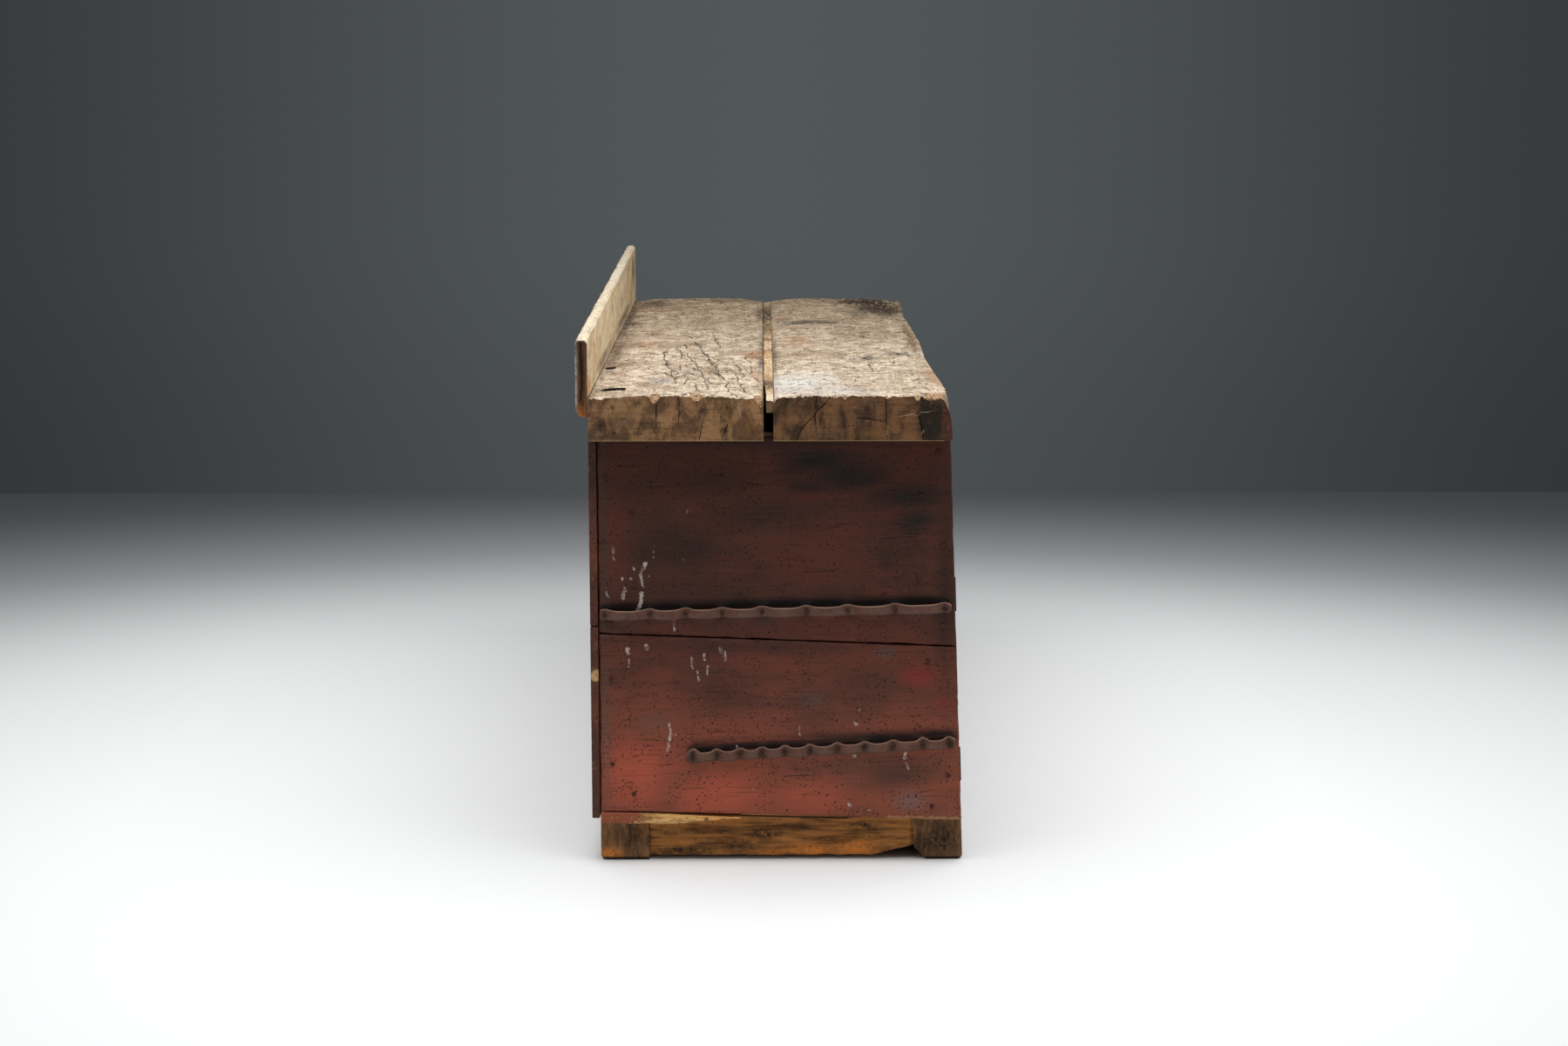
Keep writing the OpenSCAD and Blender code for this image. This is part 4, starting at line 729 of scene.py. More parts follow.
def makeLeather():
    finish = Finish("old_strap_leather", 0.62)
    crease = finish.noise((60, 120, 60), 6, 0.7, 0.8)
    patch = finish.noise((20, 30, 60), 4, 0.6, shift=(6, 1, 2))
    colour = finish.mix(finish.band(crease, 0.3, 0.7), srgb(86, 53, 42), srgb(124, 80, 63))
    colour = finish.mix(finish.band(patch, 0.40, 0.60, 0.15, 0.75), colour, srgb(116, 88, 74))
    # painted shade along the strap's lower edge and painted highlight along its top edge
    colour = finish.mix(finish.band(finish.mark("rimHighlightAndShade"), -0.4, -1.0, 0.0, 0.6), colour, srgb(52, 34, 28))
    colour = finish.mix(finish.band(finish.mark("rimHighlightAndShade"), 0.5, 0.9, 0.0, 0.6), colour, srgb(168, 132, 112))
    colour = finish.mix(finish.band(finish.mark("nailed"), 0.10, 0.75, 0.0, 0.92), colour, srgb(30, 22, 16))
    worn = finish.noise(210, 4, 0.7, shift=(3, 3, 3))
    colour = finish.mix(finish.band(worn, 0.66, 0.74, 0, 0.6), colour, srgb(164, 136, 120))
    finish.bump(crease, 0.0010, 0.6)
    return finish.done(colour)


def makeIron(name, plain, rust, low=None):
    finish = Finish(name, 0.65)
    finish.shader.inputs["Metallic"].default_value = 0.35
    bloom = finish.noise(160, 5, 0.65)
    colour = finish.mix(finish.band(bloom, 0.35, 0.7), plain, rust)
    if low:
        colour = finish.mix(finish.band(finish.axis("Z"), 0.096, 0.098, 1.0, 0.0), colour, low)
    finish.bump(bloom, 0.0006, 0.6)
    return finish.done(colour)


materials = {
    "top": makePlankTop(),
    "endBack": makeEndGrain("plank_end_grain_back", srgb(176, 132, 90), srgb(106, 78, 54), (0, 0.20, 1.02)),
    "endFront": makeEndGrain("plank_end_grain_front", srgb(140, 100, 66), srgb(80, 57, 39), (0, -0.19, 1.05)),
    "plankSide": makeTimber("plank_side_wood", srgb(150, 118, 82), srgb(92, 68, 46)),
    "slot": makeTimber("slot_wood", srgb(46, 34, 25), srgb(20, 14, 11)),
    "panel": makePaint("end_board_paint", *oldRed),
    "backPaint": makePaint("back_board_paint", srgb(108, 62, 47), srgb(68, 42, 32), srgb(144, 86, 62),
                           grainAxis=0, wornThrough=0.06, marked=False,
                           chip=((-0.892, 0.319, 0.344), (0.012, 0.012, 0.014))),
    "frontPaint": makePaint("front_paint_upright", *frontRed, grainAxis=2, wornThrough=0.06, marked=False),
    "frontPaintLong": makePaint("front_paint_long", *frontRed, grainAxis=0, wornThrough=0.06, marked=False),
    "upstand": makeUpstandWood(),
    "upstandBack": makeTimber("upstand_back_wood", srgb(166, 158, 134), srgb(116, 108, 88)),
    "upstandEnd": makeTimber("upstand_end_wood", srgb(124, 80, 46), srgb(66, 44, 29), (120, 190, 12),
                             marked=True),
    "batten": makeTimber("batten_wood", srgb(212, 186, 146), srgb(128, 98, 68), (60, 200, 200),
                         (84, 62, 44), 1.0, marked=True),
    "strip": makeTimber("split_strip_wood", srgb(255, 214, 144), srgb(216, 154, 86), (90, 60, 260),
                        (150, 98, 52), 1.0, marked=True),
    "base": makeTimber("base_rail_wood", *goldenWood, (160, 14, 130), worms=0.9, marked=True),
    "baseFar": makeTimber("base_rail_wood_far", *goldenWood, (160, 14, 130), worms=0.9),
    "baseUpright": makeTimber("base_post_wood", srgb(154, 112, 72), srgb(98, 70, 48), (120, 120, 30),
                              worms=1.0, posts=True),
    "inside": makeTimber("inside_wood", *insideWood, (12, 130, 130), (110, 84, 58), 0.3),
    "insideAcross": makeTimber("inside_wood_across", *insideWood, (130, 12, 130), (110, 84, 58), 0.3),
    "turned": makeTimber("turned_knob_wood", srgb(120, 78, 50), srgb(74, 46, 32), (60, 90, 60)),
    "leather": makeLeather(),
    "iron": makeIron("rusty_iron", srgb(46, 38, 34), srgb(96, 58, 40)),
    "paintedIron": makeIron("painted_nail_iron", srgb(62, 38, 31), srgb(104, 60, 46), srgb(158, 112, 66)),
}
print("finishes are mixed:", len(materials))


# Top planks

planks = {
    "zones": (0.05, 0.50),   # how far in from the strap end the fine and the middling cuts run
    "zoneCuts": (19, 76, 90),
    "cuts": [(1, 99), (2, 19)],      # across and down, as an axis and a number of cuts
    "crown": 0.005,          # how far the edges lie below the middle, and what share of the width is flat
    "flatShare": 0.25,
    "wave": 0.0014,          # how far slow waves and short ripples move the top
    "ripple": 0.0007,
    "wearReach": 0.30,       # how far the heavy wear along the joint runs in from the strap end
    "wearLeft": 0.4,         # what share of that wear is left beyond
    "farFall": 0.003,        # how far the far edges have worn down
    "farFrom": (0.75, 0.2),  # where that sets in, and over what length
    "farEdge": 0.05,
    "edgeReach": 0.07,       # how far in from the front edge its worn outline is felt
    "edgeRag": (0.0016, 0.01),       # how ragged that edge is, and how far in
    "footRag": 0.0012,
    "nibble": (0.0036, 0.010),       # how deep the arris at the strap end crumbles, and how far in
    "sawn": (0.0006, 0.0005, 0.0004),        # how far the end is sawn back, its waves and its pits
    "valley": 0.0004,        # how deep a crack is on top, and on the end
    "endCrack": 0.0025,
    "crackHalf": 0.003,
    "freshDepth": 0.003,     # a bite as deep as this shows fresh wood
    "rotted": 0.0055,        # how rough the rotten far front corner is
    "rottedFrom": ((0.72, 0.16), (-0.09, 0.07)),     # along and across: where it sets in, over what length
    "shake": (0.022, 0.007),         # the length of a shake's steps, and how far they stray
    "checkLength": (0.03, 0.11),
    "checkSlant": (-0.1, 0.35),
}

# a chip is its place as a share of the width, its half width, its depth and how far it runs in;
# a hollow is its place, its half sizes and its depth; a shake is where it starts and ends
backPlank = {
    "lowWear": 0.012,
    "highWear": 0.002,
    "cornerWear": (0.014, 1.0, 0.05),
    "chips": [(0.62, 0.008, 0.013, 0.040), (0.38, 0.012, 0.010, 0.045), (0.02, 0.012, 0.010, 0.05),
              (0.47, 0.003, 0.004, 0.012), (0.52, 0.003, 0.003, 0.012), (0.12, 0.005, 0.003, 0.02)],
    "hollows": [((-0.4, 0.17), (0.35, 0.10), 0.0012), ((0.45, 0.20), (0.3, 0.09), 0.002)],
    "outline": ((-1.0, 0.0), (1.0, 0.0)),
    "shakes": [
        ((-0.45, 0.203), (-0.77, 0.177)), ((-0.45, 0.149), (-0.86, 0.117)), ((-0.24, 0.174), (-0.47, 0.148)),
        ((-0.05, 0.160), (-0.76, 0.086)), ((0.08, 0.126), (-0.18, 0.106)), ((-0.45, 0.073), (-0.66, 0.055)),
        ((-0.64, 0.069), (-0.87, 0.053)), ((-0.24, 0.138), (-0.52, 0.106)), ((-0.76, 0.141), (-0.88, 0.137)),
        ((-0.47, 0.180), (-0.56, 0.173)), ((-0.76, 0.086), (-0.88, 0.081)), ((-0.20, 0.215), (-0.47, 0.206)),
        ((-0.68, 0.157), (-0.80, 0.163)), ((-0.47, 0.049), (-0.59, 0.043)), ((-0.17, 0.195), (-0.27, 0.182)),
    ],
    "checks": (34, (-0.90, -0.10), (0.045, 0.255)),
    "endCracks": [[(0.206, 0.842), (0.207, 0.812)], [(0.168, 0.846), (0.166, 0.822), (0.168, 0.81)],
                  [(0.09, 0.78), (0.084, 0.80)], [(0.132, 0.775), (0.128, 0.80)]],
    "endScratches": [[(0.064, 0.842), (0.060, 0.815)], [(0.070, 0.838), (0.062, 0.828)]],
    "topStains": [
        ((-0.738, 0.205), (0.090, 0.036), "slate", 0.75), ((-0.60, 0.160), (0.12, 0.030), "slate", 0.45),
        ((-0.256, 0.036), (0.150, 0.034), "rust", 0.75), ((-0.60, 0.030), (0.18, 0.026), "rust", 0.45),
        ((0.345, 0.305), (0.070, 0.034), "rot", 0.95), ((0.45, 0.318), (0.50, 0.016), "rot", 0.85),
        ((-0.457, 0.200), (0.020, 0.018), "sootAndShade", 0.7), ((-0.457, 0.158), (0.020, 0.014), "sootAndShade", 0.7),
        ((0.82, 0.270), (0.16, 0.060), "sootAndShade", 0.8), ((0.35, 0.150), (0.22, 0.060), "umber", 0.5),
        ((0.90, 0.120), (0.09, 0.130), "umber", 0.7), ((-0.20, 0.310), (0.50, 0.018), "umber", 0.75),
        ((-0.30, 0.026), (0.70, 0.010), "sootAndShade", 0.8), ((0.60, 0.030), (0.30, 0.016), "sootAndShade", 0.8),
        ((-0.93, 0.150), (0.030, 0.140), "whitewash", 0.6), ((0.10, 0.245), (0.10, 0.030), "umber", 0.6),
        ((-0.10, 0.250), (0.14, 0.020), "rust", 0.4), ((-0.86, 0.270), (0.05, 0.040), "whitewash", 0.5),
    ],
    "endStains": [
        ((0.302, 0.800), (0.012, 0.016), "sootAndShade", 0.95), ((0.282, 0.832), (0.006, 0.006), "rot", 1),
        ((0.280, 0.785), (0.007, 0.007), "rot", 1), ((0.238, 0.838), (0.011, 0.008), "sootAndShade", 0.9),
        ((0.205, 0.798), (0.010, 0.016), "sootAndShade", 0.9), ((0.084, 0.832), (0.007, 0.007), "rot", 0.9),
        ((0.088, 0.790), (0.010, 0.010), "rot", 0.95), ((0.128, 0.825), (0.016, 0.024), "sootAndShade", 0.9),
        ((0.290, 0.778), (0.05, 0.010), "sootAndShade", 0.7), ((0.050, 0.842), (0.012, 0.008), "smear", 0.5),
        ((0.250, 0.812), (0.03, 0.02), "ash", 0.4), ((0.160, 0.785), (0.04, 0.015), "rust", 0.35),
        ((0.045, 0.800), (0.03, 0.03), "rust", 0.3),
    ],
}
frontPlank = {
    "lowWear": 0.007,
    "highWear": 0.012,
    "cornerWear": (0.022, 1.7, 0.16),
    "chips": [(0.60, 0.006, 0.006, 0.020), (0.37, 0.003, 0.006, 0.015), (0.20, 0.005, 0.006, 0.04),
              (0.13, 0.014, 0.005, 0.05), (0.66, 0.008, 0.003, 0.015), (0.50, 0.003, 0.003, 0.015)],
    "hollows": [((-0.5, -0.16), (0.3, 0.08), 0.0015), ((0.2, -0.26), (0.25, 0.05), 0.003),
                ((0.75, -0.27), (0.24, 0.05), 0.006)],
    "outline": ((-1.0, 0.001), (-0.74, 0.005), (-0.55, 0.009), (-0.28, 0.012), (0.0, 0.006), (0.33, 0.008),
                (0.55, 0.012), (0.78, 0.005), (1.0, 0.0)),
    "shakes": [((-0.44, -0.106), (-0.45, -0.135)), ((-0.60, -0.175), (-0.61, -0.200)),
               ((-0.78, -0.262), (-0.86, -0.278)), ((-0.70, -0.236), (-0.71, -0.262))],
    "checks": (9, (-0.90, 0.20), (-0.29, -0.14)),
    "endCracks": [[(-0.085, 0.838), (-0.062, 0.812), (-0.044, 0.792), (-0.036, 0.772)],
                  [(-0.246, 0.822), (-0.252, 0.800), (-0.256, 0.772)], [(-0.145, 0.812), (-0.184, 0.806)],
                  [(-0.190, 0.846), (-0.192, 0.78)], [(-0.070, 0.846), (-0.068, 0.80)]],
    "endScratches": [[(-0.215, 0.815), (-0.240, 0.819), (-0.265, 0.826)]],
    "topStains": [
        ((-0.760, -0.040), (0.25, 0.120), "chalk", 1.0), ((-0.880, -0.10), (0.12, 0.12), "chalk", 0.6),
        ((0.352, -0.080), (0.075, 0.100), "ink", 1.2), ((0.38, -0.030), (0.05, 0.030), "ink", 0.6),
        ((0.462, -0.012), (0.040, 0.010), "smear", 0.9), ((-0.504, -0.134), (0.018, 0.022), "sootAndShade", 0.9),
        ((-0.361, -0.178), (0.060, 0.030), "ink", 1.0), ((-0.284, -0.240), (0.060, 0.034), "ink", 1.0),
        ((0.72, -0.250), (0.34, 0.100), "rot", 1.5), ((0.88, -0.220), (0.13, 0.110), "rot", 1.8),
        ((0.60, -0.200), (0.16, 0.060), "sootAndShade", 0.8), ((0.10, -0.180), (0.30, 0.110), "umber", 0.45),
        ((0.05, -0.290), (0.70, 0.022), "umber", 0.85), ((-0.60, -0.296), (0.35, 0.016), "rust", 0.6),
        ((-0.92, -0.285), (0.05, 0.040), "rust", 0.9), ((-0.30, 0.000), (0.60, 0.010), "sootAndShade", 0.8),
        ((0.93, -0.10), (0.04, 0.12), "umber", 0.7), ((-0.05, -0.05), (0.20, 0.05), "rust", 0.35),
    ],
    "endStains": [
        ((-0.268, 0.812), (0.036, 0.080), "tar", 1.9), ((-0.115, 0.82), (0.012, 0.03), "sootAndShade", 0.9),
        ((-0.298, 0.795), (0.012, 0.06), "smear", 0.7), ((-0.03, 0.79), (0.03, 0.02), "sootAndShade", 0.7),
        ((-0.195, 0.83), (0.012, 0.03), "sootAndShade", 0.8), ((-0.05, 0.83), (0.05, 0.02), "sootAndShade", 0.6),
        ((-0.16, 0.785), (0.04, 0.015), "rust", 0.3), ((-0.285, 0.775), (0.02, 0.02), "sootAndShade", 0.8),
    ],
}


def edgeRound(away, radius):
    # slides a point near an edge round the arc: how far in and how far down it goes
    if away >= radius:
        return away, 0.0
    turn = away / radius * math.pi / 2
    return radius * (1 - math.cos(turn)), radius * (1 - math.sin(turn))


def farWear(x, y, low, high):
    # how far the far edges have sunk and the far front corner has rotted
    farStart, farLength = planks["farFrom"]
    edge = smooth(1 - min(y - low, high - y) / planks["farEdge"])
    sunk = planks["farFall"] * smooth((x - farStart) / farLength) * edge
    (alongStart, alongLength), (acrossStart, acrossLength) = planks["rottedFrom"]
    crumbled = smooth((x - alongStart) / alongLength) * smooth((acrossStart - y) / acrossLength)
    return sunk + planks["rotted"] * crumbled * max(0.0, 0.25 + noise.noise(Vector((x * 34, y * 74, 6))))


def plankSurface(x, y, low, high, shape):
    # where a point of the flat top goes: its new y, its drop, and how freshly broken it is
    width = high - low
    fromEnd = x + bench["halfTop"]
    eased = between(1, planks["wearLeft"], smooth(fromEnd / planks["wearReach"]))
    lowWear, highWear = shape["lowWear"] * eased, shape["highWear"] * eased
    fromLow, dropLow = edgeRound(y - low, lowWear)
    fromHigh, dropHigh = edgeRound(high - y, highWear)
    newY = y
    if y - low < lowWear:
        newY = low + fromLow
    elif high - y < highWear:
        newY = high - fromHigh
    out = max(0.0, abs(2 * (y - low) / width - 1) - planks["flatShare"]) / (1 - planks["flatShare"])
    drop = planks["crown"] * out ** 2 + dropLow + dropHigh
    wave = noise.noise(Vector((x * 3.1, y * 7.0, low * 40)))
    ripple = noise.noise(Vector((x * 26, y * 60, low * 10)))
    drop += planks["wave"] * wave + planks["ripple"] * ripple
    drop += farWear(x, y, low, high)
    cornerIn, steep, reach = shape["cornerWear"]
    near = smooth(1 - fromEnd / reach)
    if near > 0 and y - low < cornerIn * near:
        slid, fall = edgeRound(y - low, cornerIn * near)
        newY = max(newY, low + slid)
        drop += fall * steep
    fresh = 0.0
    for centre, half, depth, run in shape["chips"]:
        away = abs(newY - low - centre * width)
        if away > 2 * half or fromEnd > 2 * run:
            continue
        rag = 1 + 0.7 * noise.noise(Vector((x * 60, y * 160, centre * 30)))
        across, along = 1 - away / (half * rag), 1 - fromEnd / (run * rag)
        if across > 0 and along > 0:
            bite = depth * min(1.0, across * 1.7) * along ** 0.8
            drop += bite * (0.8 + 0.5 * noise.noise(Vector((x * 120, y * 330, 3))))
            fresh = max(fresh, min(1.0, bite / planks["freshDepth"]))
    for place, half, depth in shape["hollows"]:
        away = math.hypot((x - place[0]) / half[0], (newY - place[1]) / half[1])
        drop += depth * smooth(1 - away) * (1 + 0.8 * ripple)
    return newY, drop, fresh


def nibble(x, y, low):
    # the small crumbling all along the arris at the strap end
    fromEnd = x + bench["halfTop"]
    depth, reach = planks["nibble"]
    if fromEnd > reach:
        return 0.0
    bite = noise.noise(Vector((y * 95, low * 9, 5.0))) + 0.7 * noise.noise(Vector((y * 300, low * 9, 1.0)))
    return depth * max(0.0, 0.25 + bite) * smooth(1 - fromEnd / reach)


def shapePlank(piece, box, shape, cracks, endCracks):
    low, high = box[0].y, box[1].y
    bottom, height = bench["underTop"], bench["worktop"] - bench["underTop"]
    near = -bench["halfTop"]
    outline = np.array(shape["outline"]).T
    ragDepth, ragReach = planks["edgeRag"]
    sawnBack, sawWave, sawPit = planks["sawn"]
    fresh = []
    for index, vertex in enumerate(piece.data.vertices):
        x, y, z = vertex.co
        share = (z - bottom) / height
        newY, drop, broken = plankSurface(x, y, low, high, shape)
        drop += nibble(x, y, low)
        if share > 0.999:
            drop += planks["valley"] * max(0.0, 1 - abs(cracks[index]) / planks["crackHalf"])
        fresh.append(broken if share > 0.97 else 0.0)
        newY += float(np.interp(x, *outline)) * smooth(1 - (y - low) / planks["edgeReach"])
        rag = noise.noise(Vector((x * 22, share * 6, low * 9)))
        rag += 0.5 * noise.noise(Vector((x * 90, share * 20, 4)))
        newY += ragDepth * max(0.0, rag) * smooth(1 - (y - low) / ragReach)
        newZ = bottom + share * (height - drop)
        newX = x
        if meets(x, near):
            wave = noise.noise(Vector((2, y * 30, z * 45)))
            pit = noise.noise(Vector((5, y * 160, z * 160)))
            newX += sawnBack + sawWave * wave + sawPit * pit
            newX += planks["endCrack"] * max(0.0, 1 - abs(endCracks[index]) / planks["crackHalf"])
        if share < 0.001 and abs(x - near) < endDepth:
            newZ += planks["footRag"] * max(0.0, rag + 0.3)
        vertex.co = (newX, between(y, newY, share ** 2), newZ)
    piece.data.update()
    return fresh


def wander(start, end, seed):
    # a shake as a run of short steps that stray a little to each side
    start, end = np.array(start), np.array(end)
    length, stray = planks["shake"]
    steps = max(3, round(float(np.hypot(*(end - start))) / length))
    return [tuple(between(start, end, index / steps)
                  + (0, stray * noise.noise(Vector((seed * 3.7, index * 0.8, 0.5)))))
            for index in range(steps + 1)]


def smallChecks(shape):
    # a net of short fine cracks between the long ones
    count, (lowX, highX), (lowY, highY) = shape["checks"]
    found = []
    for index in range(count):
        # four shares about a half that are the same at every run
        at = [0.5 + noise.noise(Vector((index * 7.3, axis * 11.7, highY))) * 1.1 for axis in range(4)]
        x, y = between(lowX, highX, at[0]), between(lowY, highY, at[1])
        length, slant = between(*planks["checkLength"], at[2]), between(*planks["checkSlant"], at[3])
        found.append(wander((x, y), (x - length, y - length * slant), index + 40))
    return found


def makePlank(name, box, shape, endWood, cutAway):
    near = -bench["halfTop"]
    corner = splinteredCorner["size"]
    piece = startBlock("top_" + name, (near, box[0].y, bench["underTop"]),
                       (-near, box[1].y, bench["worktop"]))
    cutZones(piece, near, planks["zones"], planks["zoneCuts"])
    cutGrid(piece, planks["cuts"])
    cutAway(piece)
    places = vertexPlaces(piece)
    onEnd = places[:, 0] < near + endDepth
    shakes = [wander(start, end, index) for index, (start, end) in enumerate(shape["shakes"])]
    topCracks = lineDistance(places[:, :2], shakes + smallChecks(shape))
    endCracks = lineDistance(places[:, 1:], shape["endCracks"])
    fresh = shapePlank(piece, box, shape, topCracks, endCracks)
    paintMarks(piece, "fresh", fresh)
    paintMarks(piece, "cracks", np.where(onEnd, endCracks, topCracks))
    paintMarks(piece, "scratches", lineDistance(places[:, 1:], shape["endScratches"]))
    paintStains(piece, np.where(onEnd[:, None], mixStains(places[:, 1:], shape["endStains"]),
                                mixStains(places[:, :2], shape["topStains"])))

    def choose(face):
        if abs(face.normal.x) > 0.8 and abs(abs(face.center.x) - bench["halfTop"]) < 0.01:
            return endWood
        if face.center.x < near + corner and face.center.y < box[0].y + corner:
            return "backPaint" if face.normal.z < 0.6 else "top"
        # an upright face inside the plank's outline is the wall of a slot
        if near + 0.05 < face.center.x < near + 0.6 and box[0].y + 0.05 < face.center.y < box[1].y - 0.002:
            if abs(face.normal.z) < 0.3 and face.center.z > bench["underTop"] + 0.02:
                return "slot"
        return "top" if face.normal.z > 0.35 else "plankSide"

    assignByFace(piece, ["top", endWood, "plankSide", "backPaint", "slot"], choose)
    finishPiece(piece, "bench", [name])
    print(piece.name, len(piece.data.polygons), "faces")


# a tool slot is its place from the strap end, its length, how far in from the back it starts, its width,
# and how much of that width tapers to a point
slots = {
    "rows": [(0.092, 0.038, 0.014, 0.046, 0.009), (0.442, 0.032, 0.004, 0.021, 0.004)],
    "depth": 0.045,
}
splinteredCorner = {"size": 0.016, "rag": 0.0018}
cutterPast = 0.01        # how far a cutter goes past what it cuts


def carve(piece, cutter):
    selectOnly(piece)
    cut = piece.modifiers.new("carve", "BOOLEAN")
    cut.operation = "DIFFERENCE"
    cut.solver = "EXACT"
    cut.object = cutter
    bpy.ops.object.modifier_apply(modifier=cut.name)
    bpy.data.objects.remove(cutter)


def cutSlots(piece):
    for along, length, setBack, width, point in slots["rows"]:
        x = -bench["halfTop"] + along
        y = plankBack[1].y - setBack
        cutter = startBlock("slot_cutter", (x, y - width, bench["worktop"] - slots["depth"]),
                            (x + length, y - point, bench["worktop"] + cutterPast))
        cutAt(cutter, 0, [x + length / 2])
        reshape(cutter, lambda place: Vector((place.x, y, place.z))
                if abs(place.x - x - length / 2) < 1e-4 and place.y > y - point - 1e-4 else place)
        carve(piece, cutter)


def cutCorner(piece):
    # the strap end's front corner has splintered away
    size = splinteredCorner["size"]
    x, y = -bench["halfTop"], plankFront[0].y
    cutter = startBlock("corner_cutter", (x - size, y - size, bench["underTop"] - cutterPast),
                        (x + size, y + size, bench["worktop"] + cutterPast))
    cutGrid(cutter, [(2, 19), (1, 9)])

    def splinter(place):
        if place.x < x:
            return place
        shift = Vector((noise.noise(place * 90), noise.noise(place * 90 + Vector((7, 0, 0))), 0))
        slanting = Vector((min(place.x, x + (y + size - place.y)), place.y, place.z))
        return slanting + splinteredCorner["rag"] * shift

    reshape(cutter, splinter)
    carve(piece, cutter)


makePlank("plank_back", plankBack, backPlank, "endBack", cutSlots)
makePlank("plank_front", plankFront, frontPlank, "endFront", cutCorner)


# Upstand board along the back edge

upstand = {
    "zones": (0.06, 0.50),
    "zoneCuts": (19, 70, 90),
    "cuts": [(1, 11), (2, 44)],
    "nearTop": 0.948,        # the height of its top at the strap end, and at the far end
    "farTop": 0.976,
    "wave": 0.0022,          # how far slow waves and short ripples move its top
    "farWave": 0.3,          # what share of that wave is left at the far end
    "ripple": 0.0010,
    "arris": 0.006,
    "dent": 0.0006,
    "endRag": 0.0012,
    "footWear": 0.018,
    "cornerWear": 0.0024,    # how far the strap end's top corner has worn down, and how far in
    "cornerReach": 0.035,
    "endCrack": [(0.336, 0.94), (0.334, 0.87), (0.338, 0.84)],
    "faceStains": [
        ((0.35, 0.962), (0.50, 0.022), "whitewash", 0.6), ((0.82, 0.930), (0.12, 0.05), "ash", 0.7),
        ((-0.45, 0.860), (0.45, 0.018), "umber", 0.7), ((0.35, 0.862), (0.50, 0.020), "umber", 0.8),
        ((-0.12, 0.925), (0.05, 0.022), "slate", 0.6), ((-0.90, 0.862), (0.06, 0.02), "bareOrange", 0.6),
        ((-0.55, 0.905), (0.04, 0.016), "slate", 0.5), ((0.30, 0.900), (0.06, 0.03), "slate", 0.6),
    ],
    "endStains": [
        ((0.340, 0.805), (0.024, 0.040), "bareOrange", 0.5), ((0.334, 0.91), (0.012, 0.09), "rot", 0.8),
        ((0.334, 0.950), (0.030, 0.008), "whitewash", 0.8), ((0.3485, 0.88), (0.0095, 0.16), "chalk", 1.4),
        ((0.3225, 0.90), (0.0045, 0.14), "whitewash", 1.2),
    ],
}


def roundFoot(y, z, outer, foot):
    # the lower arris at the back has worn round
    wear = upstand["footWear"]
    inward, upward = wear - outer + y, wear - z + foot
    reach = math.hypot(inward, upward)
    if min(inward, upward) <= 0 or reach <= wear:
        return y, z
    return outer - wear + inward * wear / reach, foot + wear - upward * wear / reach


def makeUpstand():
    low, high = upstandBox
    piece = startBlock("upstand_board", low, (high.x, high.y, upstand["nearTop"]))
    near, far = low.x, high.x
    cutZones(piece, near, upstand["zones"], upstand["zoneCuts"])
    cutGrid(piece, upstand["cuts"])
    foot, top = low.z, upstand["nearTop"]
    inner, outer = low.y, high.y

    def move(point):
        share = (point.z - foot) / (top - foot)
        along = (point.x - near) / (far - near)
        rise = between(upstand["nearTop"], upstand["farTop"], along)
        wave = noise.noise(Vector((point.x * 4.5, 3, 1)))
        rise += upstand["wave"] * wave * between(1, upstand["farWave"], along)
        rise += upstand["ripple"] * noise.noise(Vector((point.x * 30, 3, 1)))
        rise -= upstand["cornerWear"] * (1 - smooth((point.x - near) / upstand["cornerReach"]))
        z = foot + share * (rise - foot)
        y = point.y
        arris = upstand["arris"] * (1 + 0.5 * noise.noise(Vector((point.x * 14, 8, 2))))
        for side, edge in ((1, inner), (-1, outer)):
            away = (y - edge) * side
            if away < arris and rise - z < arris:
                turn = (1 - away / arris) * math.pi / 2
                z -= 0.9 * arris * (1 - math.cos(turn * (1 - (rise - z) / arris)))
        y, z = roundFoot(y, z, outer, foot)
        dent = noise.noise(Vector((point.x * 9, y * 50, z * 26)))
        if meets(point.y, outer):
            y -= upstand["dent"] * (1 + dent)
        elif meets(point.y, inner) and z > bench["worktop"]:
            y += upstand["dent"] * (1 + dent)
        x = point.x
        if meets(x, near):
            x += upstand["endRag"] * (1 + noise.noise(Vector((1, y * 190, z * 110))))
        return Vector((x, y, z))

    def choose(face):
        if abs(face.normal.x) > 0.7:
            return "upstandEnd"
        return "upstandBack" if face.normal.y > 0.6 else "upstand"

    reshape(piece, move)
    places = vertexPlaces(piece)
    onEnd = (places[:, 0] < near + endDepth)[:, None]
    paintStains(piece, np.where(onEnd, mixStains(places[:, 1:], upstand["endStains"]),
                                mixStains(places[:, (0, 2)], upstand["faceStains"])))
    paintMarks(piece, "cracks", lineDistance(places[:, 1:], [upstand["endCrack"]]))
    assignByFace(piece, ["upstand", "upstandEnd", "upstandBack"], choose)
    finishPiece(piece, "bench", ["upstand"])
    print("upstand:", len(piece.data.polygons), "faces")


makeUpstand()


# Batten in the joint

